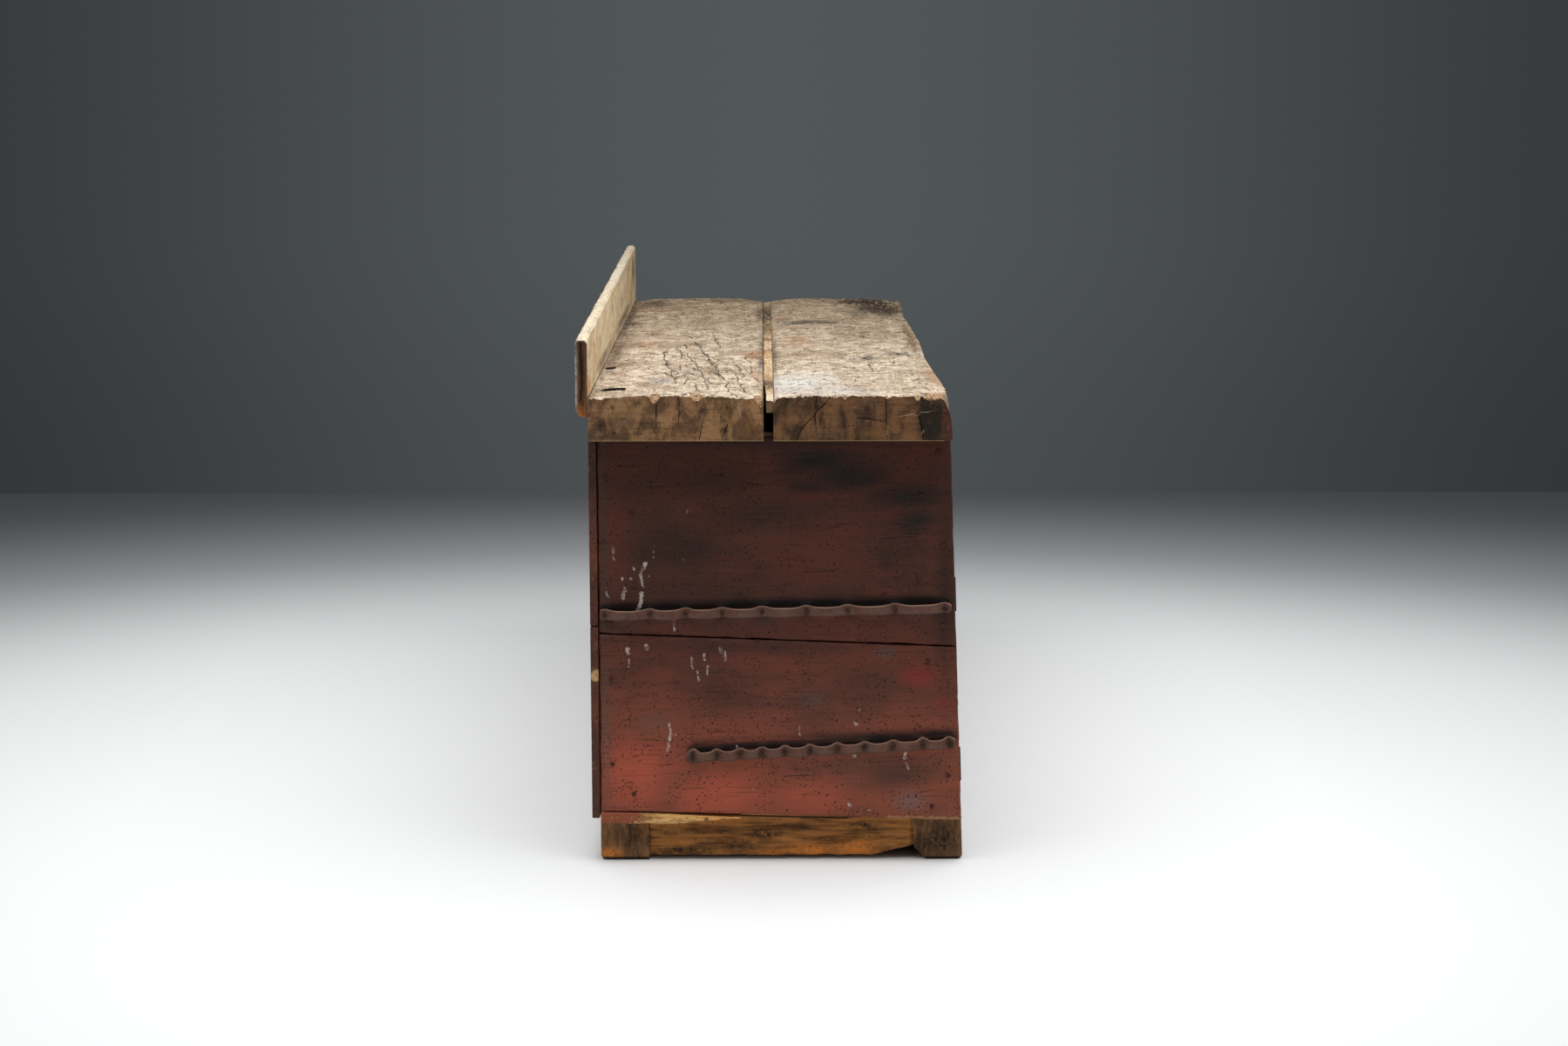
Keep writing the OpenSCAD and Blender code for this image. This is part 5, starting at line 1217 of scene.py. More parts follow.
batten = {
    "cuts": [(0, 299), (1, 3), (2, 5)],
    "sunk": 0.0012,          # how far its top lies below the planks, and how deep that crumbles
    "crumbled": 0.002,
    "filled": (0.25, 0.92),  # what share of the joint it fills, at the strap end and beyond
    "filledFrom": (-0.90, 0.30),     # where that begins to grow, and over what length
    "sideRag": (0.0006, 0.0010),     # how far a side or an end has worn back, and how raggedly
    "endRag": (0.003, 0.002),
    "stains": [
        ((-0.70, 0.013), (0.16, 0.2), "sootAndShade", 1.0), ((-0.60, 0.013), (0.10, 0.2), "rust", 0.5),
        ((0.30, 0.013), (0.30, 0.2), "umber", 0.8), ((0.65, 0.013), (0.40, 0.2), "sootAndShade", 1.1),
        ((-0.20, 0.013), (0.10, 0.2), "rust", 0.5), ((-0.90, 0.013), (0.10, 0.2), "whitewash", 0.7),
    ],
}


def makeBatten():
    low, high = battenBox
    piece = startBlock("joint_batten", low, high)
    cutGrid(piece, batten["cuts"])
    start, length = batten["filledFrom"]

    def move(point):
        rag = noise.noise(Vector((point.x * 34, point.y * 200, point.z * 200)))
        crumb = max(0.0, noise.noise(Vector((point.x * 150, point.y * 300, 4))))
        up = (point.z - low.z) / (high.z - low.z)
        if up > 0.99:
            point.z -= batten["sunk"] * (1 + rag) + batten["crumbled"] * crumb
        if meets(point.y, high.y):
            filled = between(*batten["filled"], smooth((point.x - start) / length))
            inset, depth = batten["sideRag"]
            point.y = between(high.y, plankBack[0].y, filled) - inset + depth * rag
        if meets(point.x, low.x):
            inset, depth = batten["endRag"]
            point.x += inset + depth * noise.noise(Vector((1, point.y * 300, point.z * 200)))
        return point

    reshape(piece, move)
    places = vertexPlaces(piece)
    paintMarks(piece, "cracks", np.full(len(places), farAway))
    paintStains(piece, mixStains(places[:, :2], batten["stains"]))
    assignByFace(piece, ["batten", "plankSide"],
                 lambda face: "plankSide" if abs(face.normal.x) > 0.7 else "batten")
    finishPiece(piece, "bench", ["plank_gap_batten"])


makeBatten()


# Painted end boards

endBoards = {
    "seam": (0.397, 0.421),      # height of the lower edge of the upper board, at the front and at the back
    "seamGap": 0.0025,
    "foot": (0.078, 0.095),
    "footGap": 0.0026,           # how far the foot has lifted off the strip and the rail
    "lifted": ((-0.14, 0.06), (0.29, 0.05)),     # where that sets in and where it ends, over what lengths
    "arris": 0.0022,
    "hollow": 0.0005,            # how far slow hollows and the raised grain move the face
    "grain": 0.00022,
    "scratch": (0.0010, 0.003),          # depth and half width
    "frontRag": (0.0003, 0.0012),        # how far an edge has worn back, and how raggedly
    "backRag": (0.0004, 0.0006),
    "footRag": 0.0010,
    "bare": {"front": 0.0035, "back": 0.0060, "foot": 0.0075, "split": 0.0040},      # how far paint is off
    "farMarks": 0.8,             # how strong the far end's stains are beside the strap end's
    "fineCuts": [(0, 2), (1, 14), (1, 14), (2, 10), (2, 10)],
    "coarseCuts": [(0, 2), (1, 90), (2, 60)],
}

# paint runs and spatter on the strap end: a line across and up the board, and half its width
whiteRuns = [
    ([(0.287, 0.574), (0.285, 0.566)], 0.0022), ([(0.286, 0.560), (0.284, 0.552)], 0.0010),
    ([(0.229, 0.546), (0.234, 0.536)], 0.0034), ([(0.238, 0.529), (0.237, 0.515), (0.234, 0.505)], 0.0020),
    ([(0.237, 0.493), (0.238, 0.480), (0.241, 0.468)], 0.0032), ([(0.252, 0.541), (0.249, 0.534)], 0.0012),
    ([(0.266, 0.500), (0.270, 0.484)], 0.0026), ([(0.179, 0.440), (0.180, 0.424)], 0.0014),
    ([(0.181, 0.450), (0.180, 0.446)], 0.0030), ([(0.262, 0.392), (0.262, 0.384)], 0.0034),
    ([(0.260, 0.374), (0.261, 0.358)], 0.0010), ([(0.229, 0.399), (0.229, 0.393)], 0.0030),
    ([(0.149, 0.376), (0.148, 0.358)], 0.0014), ([(0.139, 0.352), (0.137, 0.334)], 0.0010),
    ([(0.126, 0.382), (0.127, 0.372)], 0.0022), ([(0.120, 0.362), (0.122, 0.346)], 0.0016),
    ([(0.098, 0.394), (0.096, 0.384)], 0.0018), ([(0.090, 0.388), (0.090, 0.372)], 0.0018),
    ([(0.190, 0.256), (0.187, 0.240)], 0.0016), ([(0.186, 0.236), (0.190, 0.227)], 0.0024),
    ([(0.191, 0.220), (0.193, 0.207)], 0.0020), ([(0.178, 0.238), (0.178, 0.237)], 0.0012),
    ([(-0.043, 0.251), (-0.043, 0.236)], 0.0009), ([(-0.149, 0.292), (-0.147, 0.278)], 0.0009),
    ([(-0.141, 0.258), (-0.144, 0.253)], 0.0018), ([(-0.140, 0.205), (-0.140, 0.195)], 0.0022),
    ([(-0.231, 0.207), (-0.230, 0.190)], 0.0022), ([(-0.233, 0.182), (-0.236, 0.173)], 0.0018),
    ([(0.245, 0.464), (0.244, 0.458)], 0.0024), ([(0.262, 0.452), (0.256, 0.452)], 0.0014),
    ([(0.272, 0.520), (0.270, 0.517)], 0.0014), ([(0.215, 0.570), (0.214, 0.566)], 0.0010),
    ([(0.163, 0.551), (0.163, 0.550)], 0.0014), ([(0.215, 0.556), (0.214, 0.555)], 0.0012),
    ([(0.224, 0.523), (0.223, 0.522)], 0.0012), ([(0.256, 0.519), (0.255, 0.517)], 0.0014),
    ([(-0.13, 0.108), (-0.134, 0.104)], 0.0018), ([(-0.165, 0.098), (-0.168, 0.096)], 0.0014),
    ([(0.04, 0.136), (0.04, 0.134)], 0.0016), ([(0.300, 0.500), (0.296, 0.486)], 0.0008),
    ([(0.156, 0.640), (0.156, 0.638)], 0.0014), ([(0.07, 0.215), (0.069, 0.214)], 0.0014),
]
# dark scratches; the last line is the painted shadow along the lifted foot
darkScratchesAndFootShadow = [
    [(-0.200, 0.606), (-0.226, 0.610), (-0.262, 0.607)], [(-0.212, 0.617), (-0.240, 0.615)],
    [(-0.190, 0.590), (-0.250, 0.594)], [(-0.226, 0.600), (-0.268, 0.598)],
    [(0.055, 0.692), (0.038, 0.688), (0.020, 0.686)], [(0.254, 0.694), (0.249, 0.690)],
    [(-0.09, 0.607), (-0.106, 0.612)], [(0.205, 0.180), (0.185, 0.182)],
    [(0.268, 0.146), (0.262, 0.150), (0.256, 0.146)], [(0.268, 0.140), (0.256, 0.139)],
    [(0.270, 0.262), (0.262, 0.263)], [(0.250, 0.268), (0.246, 0.262)], [(0.230, 0.214), (0.222, 0.216)],
    [(0.14, 0.31), (0.135, 0.308)], [(0.176, 0.196), (0.170, 0.199)], [(-0.26, 0.13), (-0.275, 0.133)],
    [(0.31, 0.58), (0.30, 0.585)], [(0.08, 0.49), (0.06, 0.491)], [(-0.05, 0.53), (-0.10, 0.532)],
    [(0.225, 0.682), (0.200, 0.684)], [(0.20, 0.33), (0.17, 0.331)], [(0.12, 0.24), (0.09, 0.241)],
    [(-0.02, 0.16), (-0.06, 0.161)], [(0.29, 0.33), (0.275, 0.331)],
    [(0.30, 0.0952), (-0.02, 0.0870), (-0.15, 0.0838)],      # the shadow along the lifted foot
]
paleSplits = [
    ([(-0.09, 0.612), (-0.108, 0.606)], 0.0008), ([(-0.102, 0.622), (-0.106, 0.606)], 0.0008),
    ([(-0.30, 0.648), (-0.314, 0.632)], 0.0020), ([(-0.19, 0.604), (-0.235, 0.606)], 0.0005),
    ([(0.035, 0.376), (0.028, 0.392)], 0.0003), ([(-0.245, 0.397), (-0.256, 0.392)], 0.0014),
    ([(-0.30, 0.372), (-0.31, 0.378)], 0.0014), ([(-0.204, 0.0812), (-0.330, 0.0780)], 0.0095),
    ([(-0.306, 0.350), (-0.312, 0.335)], 0.0012), ([(-0.310, 0.560), (-0.315, 0.540)], 0.0012),
]
endStains = [
    ((-0.070, 0.728), (0.100, 0.034), "moss", 1.0), ((-0.130, 0.700), (0.110, 0.040), "moss", 1.0),
    ((-0.235, 0.665), (0.130, 0.034), "moss", 1.0), ((-0.06, 0.682), (0.07, 0.024), "moss", 0.7),
    ((-0.245, 0.622), (0.075, 0.030), "moss", 0.8), ((-0.195, 0.546), (0.020, 0.020), "moss", 0.7),
    ((0.17, 0.570), (0.14, 0.060), "darkPaintAndShade", 0.8), ((0.02, 0.440), (0.030, 0.016), "ash", 0.5),
    ((0.05, 0.625), (0.16, 0.050), "darkPaintAndShade", 0.6), ((0.02, 0.600), (0.04, 0.02), "ash", 0.35),
    ((-0.252, 0.343), (0.050, 0.032), "crimson", 0.9), ((-0.30, 0.295), (0.030, 0.030), "crimson", 0.6),
    ((0.250, 0.170), (0.110, 0.120), "brickRed", 0.95), ((0.10, 0.125), (0.150, 0.060), "brickRed", 0.9),
    ((-0.06, 0.120), (0.120, 0.050), "brickRed", 0.7), ((-0.03, 0.205), (0.18, 0.026), "brickRed", 0.5),
    ((-0.065, 0.300), (0.035, 0.026), "ash", 0.6), ((-0.195, 0.385), (0.030, 0.020), "slate", 0.5),
    ((0.22, 0.255), (0.060, 0.035), "ash", 0.55), ((-0.22, 0.165), (0.10, 0.060), "darkPaintAndShade", 0.7),
    ((-0.24, 0.115), (0.05, 0.030), "slate", 0.45), ((0.10, 0.310), (0.10, 0.065), "darkPaintAndShade", 0.6),
    ((0.12, 0.690), (0.14, 0.050), "darkPaintAndShade", 0.6), ((0.27, 0.745), (0.05, 0.020), "crimson", 0.35),
    ((0.28, 0.640), (0.03, 0.110), "crimson", 0.25), ((0.02, 0.535), (0.16, 0.040), "crimson", 0.15),
    ((-0.200, 0.635), (0.05, 0.020), "crimson", 0.4), ((-0.25, 0.735), (0.05, 0.030), "crimson", 0.35),
    ((-0.06, 0.665), (0.05, 0.015), "crimson", 0.4), ((0.302, 0.60), (0.012, 0.40), "ash", 0.55),
    ((0.302, 0.25), (0.012, 0.24), "ash", 0.65), ((-0.30, 0.500), (0.03, 0.30), "darkPaintAndShade", 0.7),
    # the long dark band right under the worktop is painted shade under its overhang
    ((0.0, 0.765), (0.40, 0.020), "darkPaintAndShade", 0.8), ((0.05, 0.395), (0.30, 0.020), "darkPaintAndShade", 0.5),
]


def boardStains(seed):
    # the far end has the same marks, upside down and fainter, so that it is no copy
    if seed == 0:
        return endStains
    turned = 2 * endBoards["seam"][1]
    return [((place[0], turned - place[1]), half, colour, strength * endBoards["farMarks"])
            for place, half, colour, strength in endStains]


def sootAndShade(points):
    # painted shadow above the strap loops, with grime where tools were pushed in behind them
    cover = np.zeros(len(points))
    for strap in (upperStrap, lowerStrap):
        above = [(y, z + straps["width"] * straps["shadowAndGrimeRise"]) for y, z in strapNails(strap)]
        away = np.abs(lineDistance(points, [above]))
        cover = np.maximum(cover, ease(straps["shadowAndGrimeStrength"] - away / strap["shadowAndGrime"]))
    return cover


def endBoardStains(points, seed):
    stains = mixStains(points, boardStains(seed))
    if seed == 0:
        # painted shadow and grime above the straps
        shadowAndGrime = sootAndShade(points)
        stains[:, :3] += (np.array(stainColours["shadowAndGrime"]) - stains[:, :3]) * shadowAndGrime[:, None]
        stains[:, 3] = np.maximum(stains[:, 3], shadowAndGrime)
    return stains


def wearEndBoard(piece, flat, edge, scratches, lifted, seed):
    # moves each point of the unit square to its place on the board, worn and curled
    outer = bench["halfBase"]
    scratchDepth, scratchHalf = endBoards["scratch"]
    (liftStart, liftIn), (liftEnd, liftOut) = endBoards["lifted"]
    for index, vertex in enumerate(piece.data.vertices):
        y, z = flat[index]
        x, fromFront, fromFoot = vertex.co
        ragged = noise.noise(Vector((seed, y * 26, z * 26)))
        ragged += 0.6 * noise.noise(Vector((seed, y * 110, z * 110)))
        if meets(x, -outer):
            arris = endBoards["arris"] * (1.3 + ragged)
            x += arris * max(0.0, 1 - edge[index] / arris) ** 2
            x += endBoards["hollow"] * (1 + noise.noise(Vector((seed, y * 2.5, z * 9))))
            x += endBoards["grain"] * noise.noise(Vector((seed, y * 14, z * 330)))
            x += scratchDepth * max(0.0, 1 - abs(scratches[index]) / scratchHalf)
        if meets(fromFront, 0):
            y += endBoards["frontRag"][0] + endBoards["frontRag"][1] * max(0.0, ragged)
        if meets(fromFront, 1):
            y -= endBoards["backRag"][0] + endBoards["backRag"][1] * max(0.0, ragged)
        if meets(fromFoot, 0):
            z += endBoards["footRag"] * max(0.0, ragged)
            if lifted:
                z += endBoards["footGap"] * smooth((y - liftStart) / liftIn) * smooth((liftEnd - y) / liftOut)
        vertex.co = (x, y, z)
    piece.data.update()


def makeEndBoard(name, node, foot, top, cuts, seed):
    # foot and top: the height at the front and at the back
    piece = startBlock(name, (-bench["halfBase"], 0, 0), (-bench["halfFrame"], 1, 1))
    cutGrid(piece, cuts)
    # across and up the block is a unit square, which is laid out flat between the slanting edges
    square = vertexPlaces(piece)
    across, up = square[:, 1], square[:, 2]
    footLine, topLine = between(*foot, across), between(*top, across)
    height = between(footLine, topLine, up)
    front, backEdge = frontY(height), boardUpper[1].y
    flat = np.column_stack((between(front, backEdge, across), height))
    tall, deep = topLine - footLine, backEdge - front
    edge = np.minimum.reduce([up * tall, (1 - up) * tall, across * deep, (1 - across) * deep])
    scratches = lineDistance(flat, [] if seed else darkScratchesAndFootShadow)
    wearEndBoard(piece, flat, edge, scratches, foot == endBoards["foot"], seed)
    bare = endBoards["bare"]
    splits = blotDistance(flat, [] if seed else paleSplits)
    paintMarks(piece, "drips", blotDistance(flat, [] if seed else whiteRuns))
    paintMarks(piece, "scratches", scratches)
    paintMarks(piece, "wear", np.minimum.reduce([
        flat[:, 0] - front + bare["front"], backEdge - flat[:, 0] + bare["back"],
        height - footLine + bare["foot"], splits + bare["split"]]))
    paintStains(piece, endBoardStains(flat, seed))
    if seed:
        mirrorAlong(piece)
    piece.data.materials.append(materials["panel"])
    finishPiece(piece, "bench", [node])


def mirrorAlong(piece):
    piece.data.transform(Matrix.Scale(-1, 4, (1, 0, 0)))
    editAll(piece, bpy.ops.mesh.flip_normals)


def makeEndBoards():
    foot, seam = endBoards["foot"], endBoards["seam"]
    belowSeam = tuple(height - endBoards["seamGap"] for height in seam)
    top = (bench["underTop"], bench["underTop"])
    for end, side, cuts, seed in (("strap_end", "left", endBoards["fineCuts"], 0),
                                  ("far_end", "right", endBoards["coarseCuts"], 31)):
        makeEndBoard("end_board_upper_" + end, "end_board_upper_" + side, seam, top, cuts, seed)
        makeEndBoard("end_board_lower_" + end, "end_board_lower_" + side, foot, belowSeam, cuts, seed)
    print("end boards shaped")


# Leather tool straps

straps = {
    "width": 0.019,
    "thickness": 0.003,
    "nailHead": 0.0085,
    "flat": 0.00075,
    "dimpled": 0.0085,       # how far from a nail its dark dimple reaches
    "flatness": 2.8,         # how suddenly a loop springs from its nails
    "stepsPerLoop": 16,
    "stepsAcross": 8,
    "backEnd": (1, 0.92, 0.75, 0.5, 0.25, 0),       # shares of the tail, from its tip to the first nail
    "roundness": 0.85,
    "swellReach": 0.011,
    # the front end beyond the last nail: how far off the board, past the nail, up, how near, how wide
    "frontEnd": [(0.40, 0.0050, 0, 0.9, 1.0), (0.75, 0.0085, 0.001, 0.5, 0.9),
                 (0.85, 0.0115, 0.003, 0.2, 0.5)],
    "rag": 0.07,             # how unevenly wide it is
    "twist": 0.0012,         # how far slow waves and fine creases move its face
    "crease": 0.0009,
    "clear": 0.0002,         # how far the leather always stays off the board
    "solid": 0.9,            # what share of the thickness the worn leather still has
    "bevel": 0.0008,
    "shadowAndGrimeRise": 0.58,       # how many widths above the nails the painted shadow and grime are thickest, and how strong they are
    "shadowAndGrimeStrength": 1.2,
}
upperStrap = {
    "spans": (82, 66, 67, 73, 82, 75, 87, 91),      # shares of the width between the nails
    "backInset": 0.012,
    "frontInset": 0.020,
    "rise": (0.454, 0.466),                         # of its middle, at the back and at the front
    "loop": 0.019,
    "footOut": 0.35,                                # how much of the loop its lower edge follows
    "tail": 0.008,
    "swell": 0.0,
    "bulge": 0.0,
    "hump": 0.0009,
    "sag": 0.0013,
    "shadowAndGrime": 0.015,
    "dimple": 0.7,
}
lowerStrap = {
    "spans": (43, 43, 40, 42, 46, 50, 50, 52, 55, 48),
    "backInset": 0.167,
    "frontInset": 0.019,
    "rise": (0.197, 0.221),
    "loop": 0.013,
    "footOut": 0.75,
    "tail": 0.0125,
    "swell": 0.25,                                  # how much wider its rounded back end is
    "bulge": 0.005,
    "hump": 0.0026,
    "sag": 0.0016,
    "shadowAndGrime": 0.020,
    "dimple": 1.0,
}


def strapNails(strap):
    total = sum(strap["spans"])
    start = bench["backY"] - strap["backInset"]
    end = frontY(strap["rise"][1]) + strap["frontInset"]
    shares = [sum(strap["spans"][:index]) / total for index in range(len(strap["spans"]) + 1)]
    return [(between(start, end, share), between(*strap["rise"], share)) for share in shares]


def strapPath(strap):
    # points of the leather's middle: how far it stands off the board, across, up, how near a nail, how wide
    nails = strapNails(strap)
    firstY, firstZ = nails[0]
    path = []
    for share in straps["backEnd"]:
        rounded = math.sqrt(1 - straps["roundness"] * share ** 2) if strap["swell"] else 1.0
        path.append((0.0, firstY + strap["tail"] * share, firstZ, 1 - share, (1 + strap["swell"]) * rounded))
    steps = straps["stepsPerLoop"]
    for (y0, z0), (y1, z1) in zip(nails, nails[1:]):
        flat = (straps["nailHead"] / 2 + straps["flat"]) / abs(y1 - y0)
        for step in range(steps + 1):
            t = step / steps
            along = between(flat, 1 - flat, t)
            off = 1 - abs(2 * t - 1) ** straps["flatness"]
            y = between(y0, y1, along)
            near = max(0.0, 1 - min(y0 - y, y - y1) / straps["dimpled"])
            wide = 1 + strap["swell"] * smooth(1.5 - (firstY - y) / straps["swellReach"])
            path.append((off, y, between(z0, z1, along), near, wide))
        path.append((0.0, y1, z1, 1.0, 1.0))
    y, z = nails[-1]
    return path + [(off, y - past, z + up, near, wide) for off, past, up, near, wide in straps["frontEnd"]]


def thicken(piece):
    # the ribbon gets its thickness, worn edges and a smooth bend
    body = piece.modifiers.new("thickness", "SOLIDIFY")
    body.thickness = straps["thickness"] * straps["solid"]
    body.offset = 0
    rounding = piece.modifiers.new("rounding", "BEVEL")
    rounding.width = straps["bevel"]
    rounding.segments = 2
    rounding.limit_method = "ANGLE"
    smoother = piece.modifiers.new("smoothing", "SUBSURF")
    smoother.levels = 1
    smoother.render_levels = 1
    for modifier in ("thickness", "rounding", "smoothing"):
        bpy.ops.object.modifier_apply(modifier=modifier)


def makeStrap(name, node, strap, seed):
    path = strapPath(strap)
    bpy.ops.object.select_all(action="DESELECT")
    bpy.ops.mesh.primitive_grid_add(x_subdivisions=len(path) - 1, y_subdivisions=straps["stepsAcross"],
                                    size=1)
    piece = bpy.context.object
    piece.name = name
    thickness = straps["thickness"]
    nailed, rimHighlightAndShade = [], []
    for vertex in piece.data.vertices:
        index = round((vertex.co.x + 0.5) * (len(path) - 1))
        up = vertex.co.y + 0.5
        off, y, z, near, wide = path[index]
        wave = noise.noise(Vector((seed, y * 30, up * 1.5)))
        crease = noise.noise(Vector((seed, y * 120, up * 5)))
        half = straps["width"] / 2 * wide * (1 + straps["rag"] * wave)
        hump = strap["hump"] * smooth(near) * smooth((up - 0.4) * 2) * (1 + 0.6 * wave)
        hump -= strap["sag"] * off * between(0.2, 1, up) * (1 + 0.8 * wave)
        out = thickness / 2 + (strap["loop"] - thickness) * off * between(strap["footOut"], 1, up)
        out += straps["twist"] * off * wave + straps["crease"] * crease * (0.4 + near)
        out += strap["bulge"] * max(0.0, wide - 1) * 4 * math.sin(math.pi * up)
        out = max(out, thickness / 2 + straps["clear"])
        vertex.co = (-bench["halfBase"] - out, y, z + between(-half, half, up) + hump)
        nailed.append(strap["dimple"] * near * (1 - abs(up - 0.45) * 1.5) * (1 + 0.5 * crease))
        # painted highlight towards the top edge, painted shade towards the lower edge
        rimHighlightAndShade.append(max(0.0, up - 0.8) * 5 - max(0.0, 0.3 - up) / 0.3)
    paintMarks(piece, "nailed", nailed)
    paintMarks(piece, "rimHighlightAndShade", rimHighlightAndShade)
    editAll(piece, bpy.ops.mesh.normals_make_consistent, inside=False)
    thicken(piece)
    piece.data.materials.append(materials["leather"])
    finishPiece(piece, "bench", [node], 60)


makeEndBoards()
makeStrap("strap_upper", "tool_strap_upper", upperStrap, 3)
makeStrap("strap_lower", "tool_strap_lower", lowerStrap, 11)
print("straps hung")


# Splintered strip and bottom rail of the strap end

strip = {
    "cuts": [(1, 90), (2, 11), (0, 3)],
    "whole": 0.072,          # length of the part that keeps its paint, from the back
    "bareGrow": 0.05,        # over what share of its length the bare wood sets in
    "backLess": 0.001,       # how much less tall its back end is than the gap, and how tall its tip is
    "tip": 0.003,
    "droop": 0.004,
    "splinters": 0.004,      # how far up they run
    "ceilingGap": 0.0008,
    "faceBack": 0.0005,      # how far its face lies back, and how far more where it is bare
    "bareBack": 0.0016,
    "furrow": 0.0014,        # how deep its furrows are, and how far its long edges are rounded
    "rounded": 0.0015,
    "tipRag": 0.012,
    "stains": [((0.300, 0.086), (0.085, 0.200), "paintRed", 3.0),
               ((0.180, 0.088), (0.07, 0.014), "yellowWood", 0.9),
               ((0.110, 0.083), (0.06, 0.010), "yellowWood", 0.9),
               ((0.140, 0.077), (0.10, 0.003), "umber", 0.7)],
}
rail = {
    "cuts": [(1, 150), (2, 24), (0, 2)],
    "intoPosts": 0.005,
    "notch": (0.077, 0.018),         # length and height of the piece knocked out beside the front post
    "footRag": 0.0025,
    "crumble": (0.0035, 0.022),      # depth and height of the crumbling edge
    "dent": (0.0007, 0.0005),        # how far its face has worn back, and how unevenly
    "shadow": [(0.20, 0.0850), (0.05, 0.0810), (-0.13, 0.0764)],     # the gap under the end board
    "stains": [
        ((-0.060, 0.014), (0.075, 0.022), "bareOrange", 1.0),
        ((-0.145, 0.020), (0.060, 0.026), "bareOrange", 1.0),
        ((0.010, 0.010), (0.060, 0.012), "bareOrange", 0.7), ((0.16, 0.018), (0.10, 0.012), "rot", 0.9),
        ((0.07, 0.026), (0.09, 0.020), "rot", 0.7), ((0.02, 0.048), (0.07, 0.018), "rot", 0.8),
        ((-0.16, 0.062), (0.05, 0.016), "rot", 0.9), ((0.19, 0.055), (0.03, 0.025), "rust", 0.6),
        ((0.05, 0.080), (0.16, 0.016), "rust", 0.6), ((-0.10, 0.085), (0.10, 0.014), "umber", 0.7),
        ((-0.04, 0.060), (0.04, 0.014), "rot", 0.6), ((-0.10, 0.036), (0.03, 0.006), "rot", 0.8),
        # the two narrow bands beside the posts are dark joints; the long band along the bottom is painted
        # contact shadow under the rail
        ((0.228, 0.05), (0.006, 0.06), "shadowAndGrime", 1.0),
        ((-0.247, 0.05), (0.006, 0.06), "shadowAndGrime", 1.0), ((0.0, 0.001), (0.9, 0.011), "shadowAndGrime", 1.6),
    ],
}


def makeStrip():
    low, high = stripBox
    piece = startBlock("splintered_strip", low, high)
    cutGrid(piece, strip["cuts"])

    def move(point):
        along = (high.y - point.y) / (high.y - low.y)        # from its back end to its tip
        up = (point.z - low.z) / (high.z - low.z)
        whole = strip["whole"] / (high.y - low.y)
        taper = smooth((along - whole) / (1 - whole))
        splinter = noise.noise(Vector((point.y * 90, up * 3, 2)))
        splinter += 0.6 * noise.noise(Vector((point.y * 260, up * 9, 5)))
        bare = smooth((along - whole * 0.9) / strip["bareGrow"])
        ceiling = between(*reversed(endBoards["foot"]), (high.y - point.y) / (high.y - bench["footY"]))
        height = between(high.z - low.z - strip["backLess"], strip["tip"], taper ** 1.5)
        height -= bare * strip["splinters"] * max(0.0, splinter)
        z = min(high.z, ceiling - strip["ceilingGap"]) - strip["droop"] * taper - (1 - up) * height
        x = point.x
        if meets(x, low.x):
            x += strip["faceBack"] + bare * strip["bareBack"] * (1 + splinter)
            x += bare * strip["furrow"] * noise.noise(Vector((point.y * 40, up * 22, 8)))
            x += strip["rounded"] * (1 - smooth(min(up, 1 - up) * 8))
        y = point.y
        if meets(y, low.y):
            y += strip["tipRag"] * abs(noise.noise(Vector((up * 4, 3, 1))))
        return Vector((min(x, high.x), y, z))

    reshape(piece, move)
    places = vertexPlaces(piece)
    paintStains(piece, mixStains(places[:, 1:], strip["stains"]))
    paintMarks(piece, "cracks", np.full(len(places), farAway))
    piece.data.materials.append(materials["strip"])
    finishPiece(piece, "bench", ["split_strip"])


def makeRail():
    low, high = railBox
    back = backPost[0].y + rail["intoPosts"]
    front = frontY(low.z) + (frontPost[1].y - frontY(bench["underTop"])) - rail["intoPosts"]
    piece = startBlock("worn_bottom_rail", (low.x, front, low.z), (high.x, back, high.z))
    cutGrid(piece, rail["cuts"])
    tall = high.z - low.z
    notchLength, notchHeight = rail["notch"]
    crumbleDepth, crumbleHeight = rail["crumble"]

    def move(point):
        up = (point.z - low.z) / tall
        rag = noise.noise(Vector((3, point.y * 30, 2))) + 0.6 * noise.noise(Vector((3, point.y * 110, 7)))
        notch = max(0.0, 1 - (point.y - front - rail["intoPosts"]) / notchLength) * notchHeight
        floor = low.z + notch + rail["footRag"] * max(0.0, rag)
        z = floor + up * (high.z - floor)
        x = point.x
        if meets(x, low.x):
            worn, uneven = rail["dent"]
            x += worn + uneven * noise.noise(Vector((1, point.y * 5, point.z * 60)))
            crumbling = crumbleDepth * smooth(1 - (z - floor) / crumbleHeight)
            x += crumbling * max(0.0, 0.5 + noise.noise(Vector((2, point.y * 60, point.z * 190))))
        return Vector((x, point.y, z))

    reshape(piece, move)
    places = vertexPlaces(piece)
    paintStains(piece, mixStains(places[:, 1:], rail["stains"]))
    # the cracks mark here is the painted shadow under the end board's foot
    paintMarks(piece, "cracks", lineDistance(places[:, 1:], [rail["shadow"]]))
    piece.data.materials.append(materials["base"])
    finishPiece(piece, "bench", ["rail_end_bottom_left"])


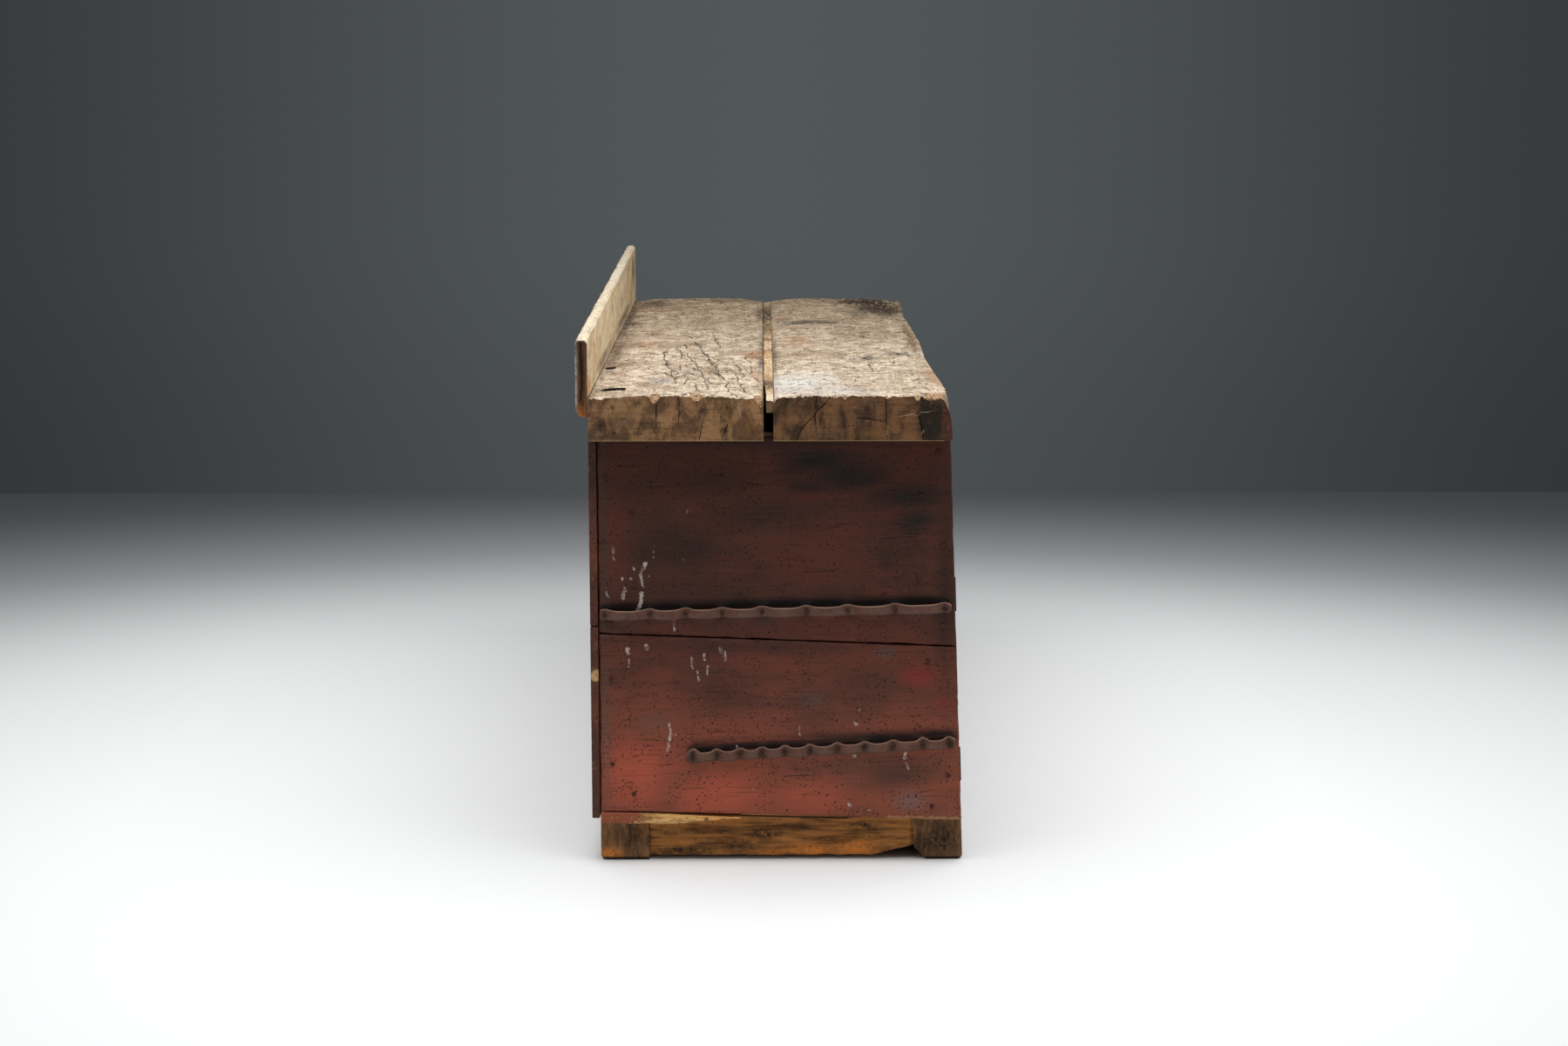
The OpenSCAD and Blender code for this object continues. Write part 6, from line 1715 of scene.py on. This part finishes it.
makeStrip()
makeRail()
print("strip and rail worn")


# Every other node keeps its shape and takes a finish

nodeFinishes = {
    "backPaint": ["back_board_upper", "back_board_lower"],
    "baseUpright": ["post_front_left", "post_front_right", "post_back_left", "post_back_right"],
    "baseFar": ["rail_end_bottom_right"],
    "frontPaint": ["post_front_middle", "door_left_boards", "door_right_boards"],
    "frontPaintLong": ["rail_front_bottom", "rail_front_top", "drawer_rails", "drawer_left_front",
                       "drawer_right_front"],
    "inside": ["post_back_middle", "rail_back_bottom", "rail_back_top", "floor_boards", "tenon_pegs",
               "drawer_left_back", "drawer_right_back", "drawer_left_bottom", "drawer_right_bottom",
               "door_left_ledges", "door_right_ledges"],
    "insideAcross": ["rail_end_top_left", "rail_end_top_right", "bearer_top_middle", "bearer_floor_middle",
                     "drawer_runners", "drawer_kickers", "drawer_left_sides", "drawer_right_sides"],
    "turned": ["drawer_left_knob", "drawer_right_knob", "door_left_knob", "door_right_knob", "turn_button"],
    "iron": ["back_nails", "hinge_frame_leaves", "turn_button_screw", "door_left_nails", "door_right_nails",
             "door_left_hinge_leaves", "door_right_hinge_leaves", "tool_strap_nails"],
    "paintedIron": ["end_board_nails"],
}
softenedEdge = {
    "nodes": nodeFinishes["backPaint"] + nodeFinishes["baseUpright"] + nodeFinishes["frontPaint"]
    + nodeFinishes["frontPaintLong"] + nodeFinishes["baseFar"],
    "weld": 0.00002,
    "width": 0.0016,
    "angle": 40,
}


def soften(node):
    # sawn edges that hands and knees have rounded
    weld = node.modifiers.new("weld", "WELD")
    weld.merge_threshold = softenedEdge["weld"]
    edge = node.modifiers.new("worn edge", "BEVEL")
    edge.width = softenedEdge["width"]
    edge.segments = 2
    edge.limit_method = "ANGLE"
    edge.angle_limit = math.radians(softenedEdge["angle"])


def dressNodes():
    for key, names in nodeFinishes.items():
        for name in names:
            nodes[name].data.materials.clear()
            nodes[name].data.materials.append(materials[key])
            if name in softenedEdge["nodes"]:
                soften(nodes[name])


dressNodes()
print("nodes dressed")
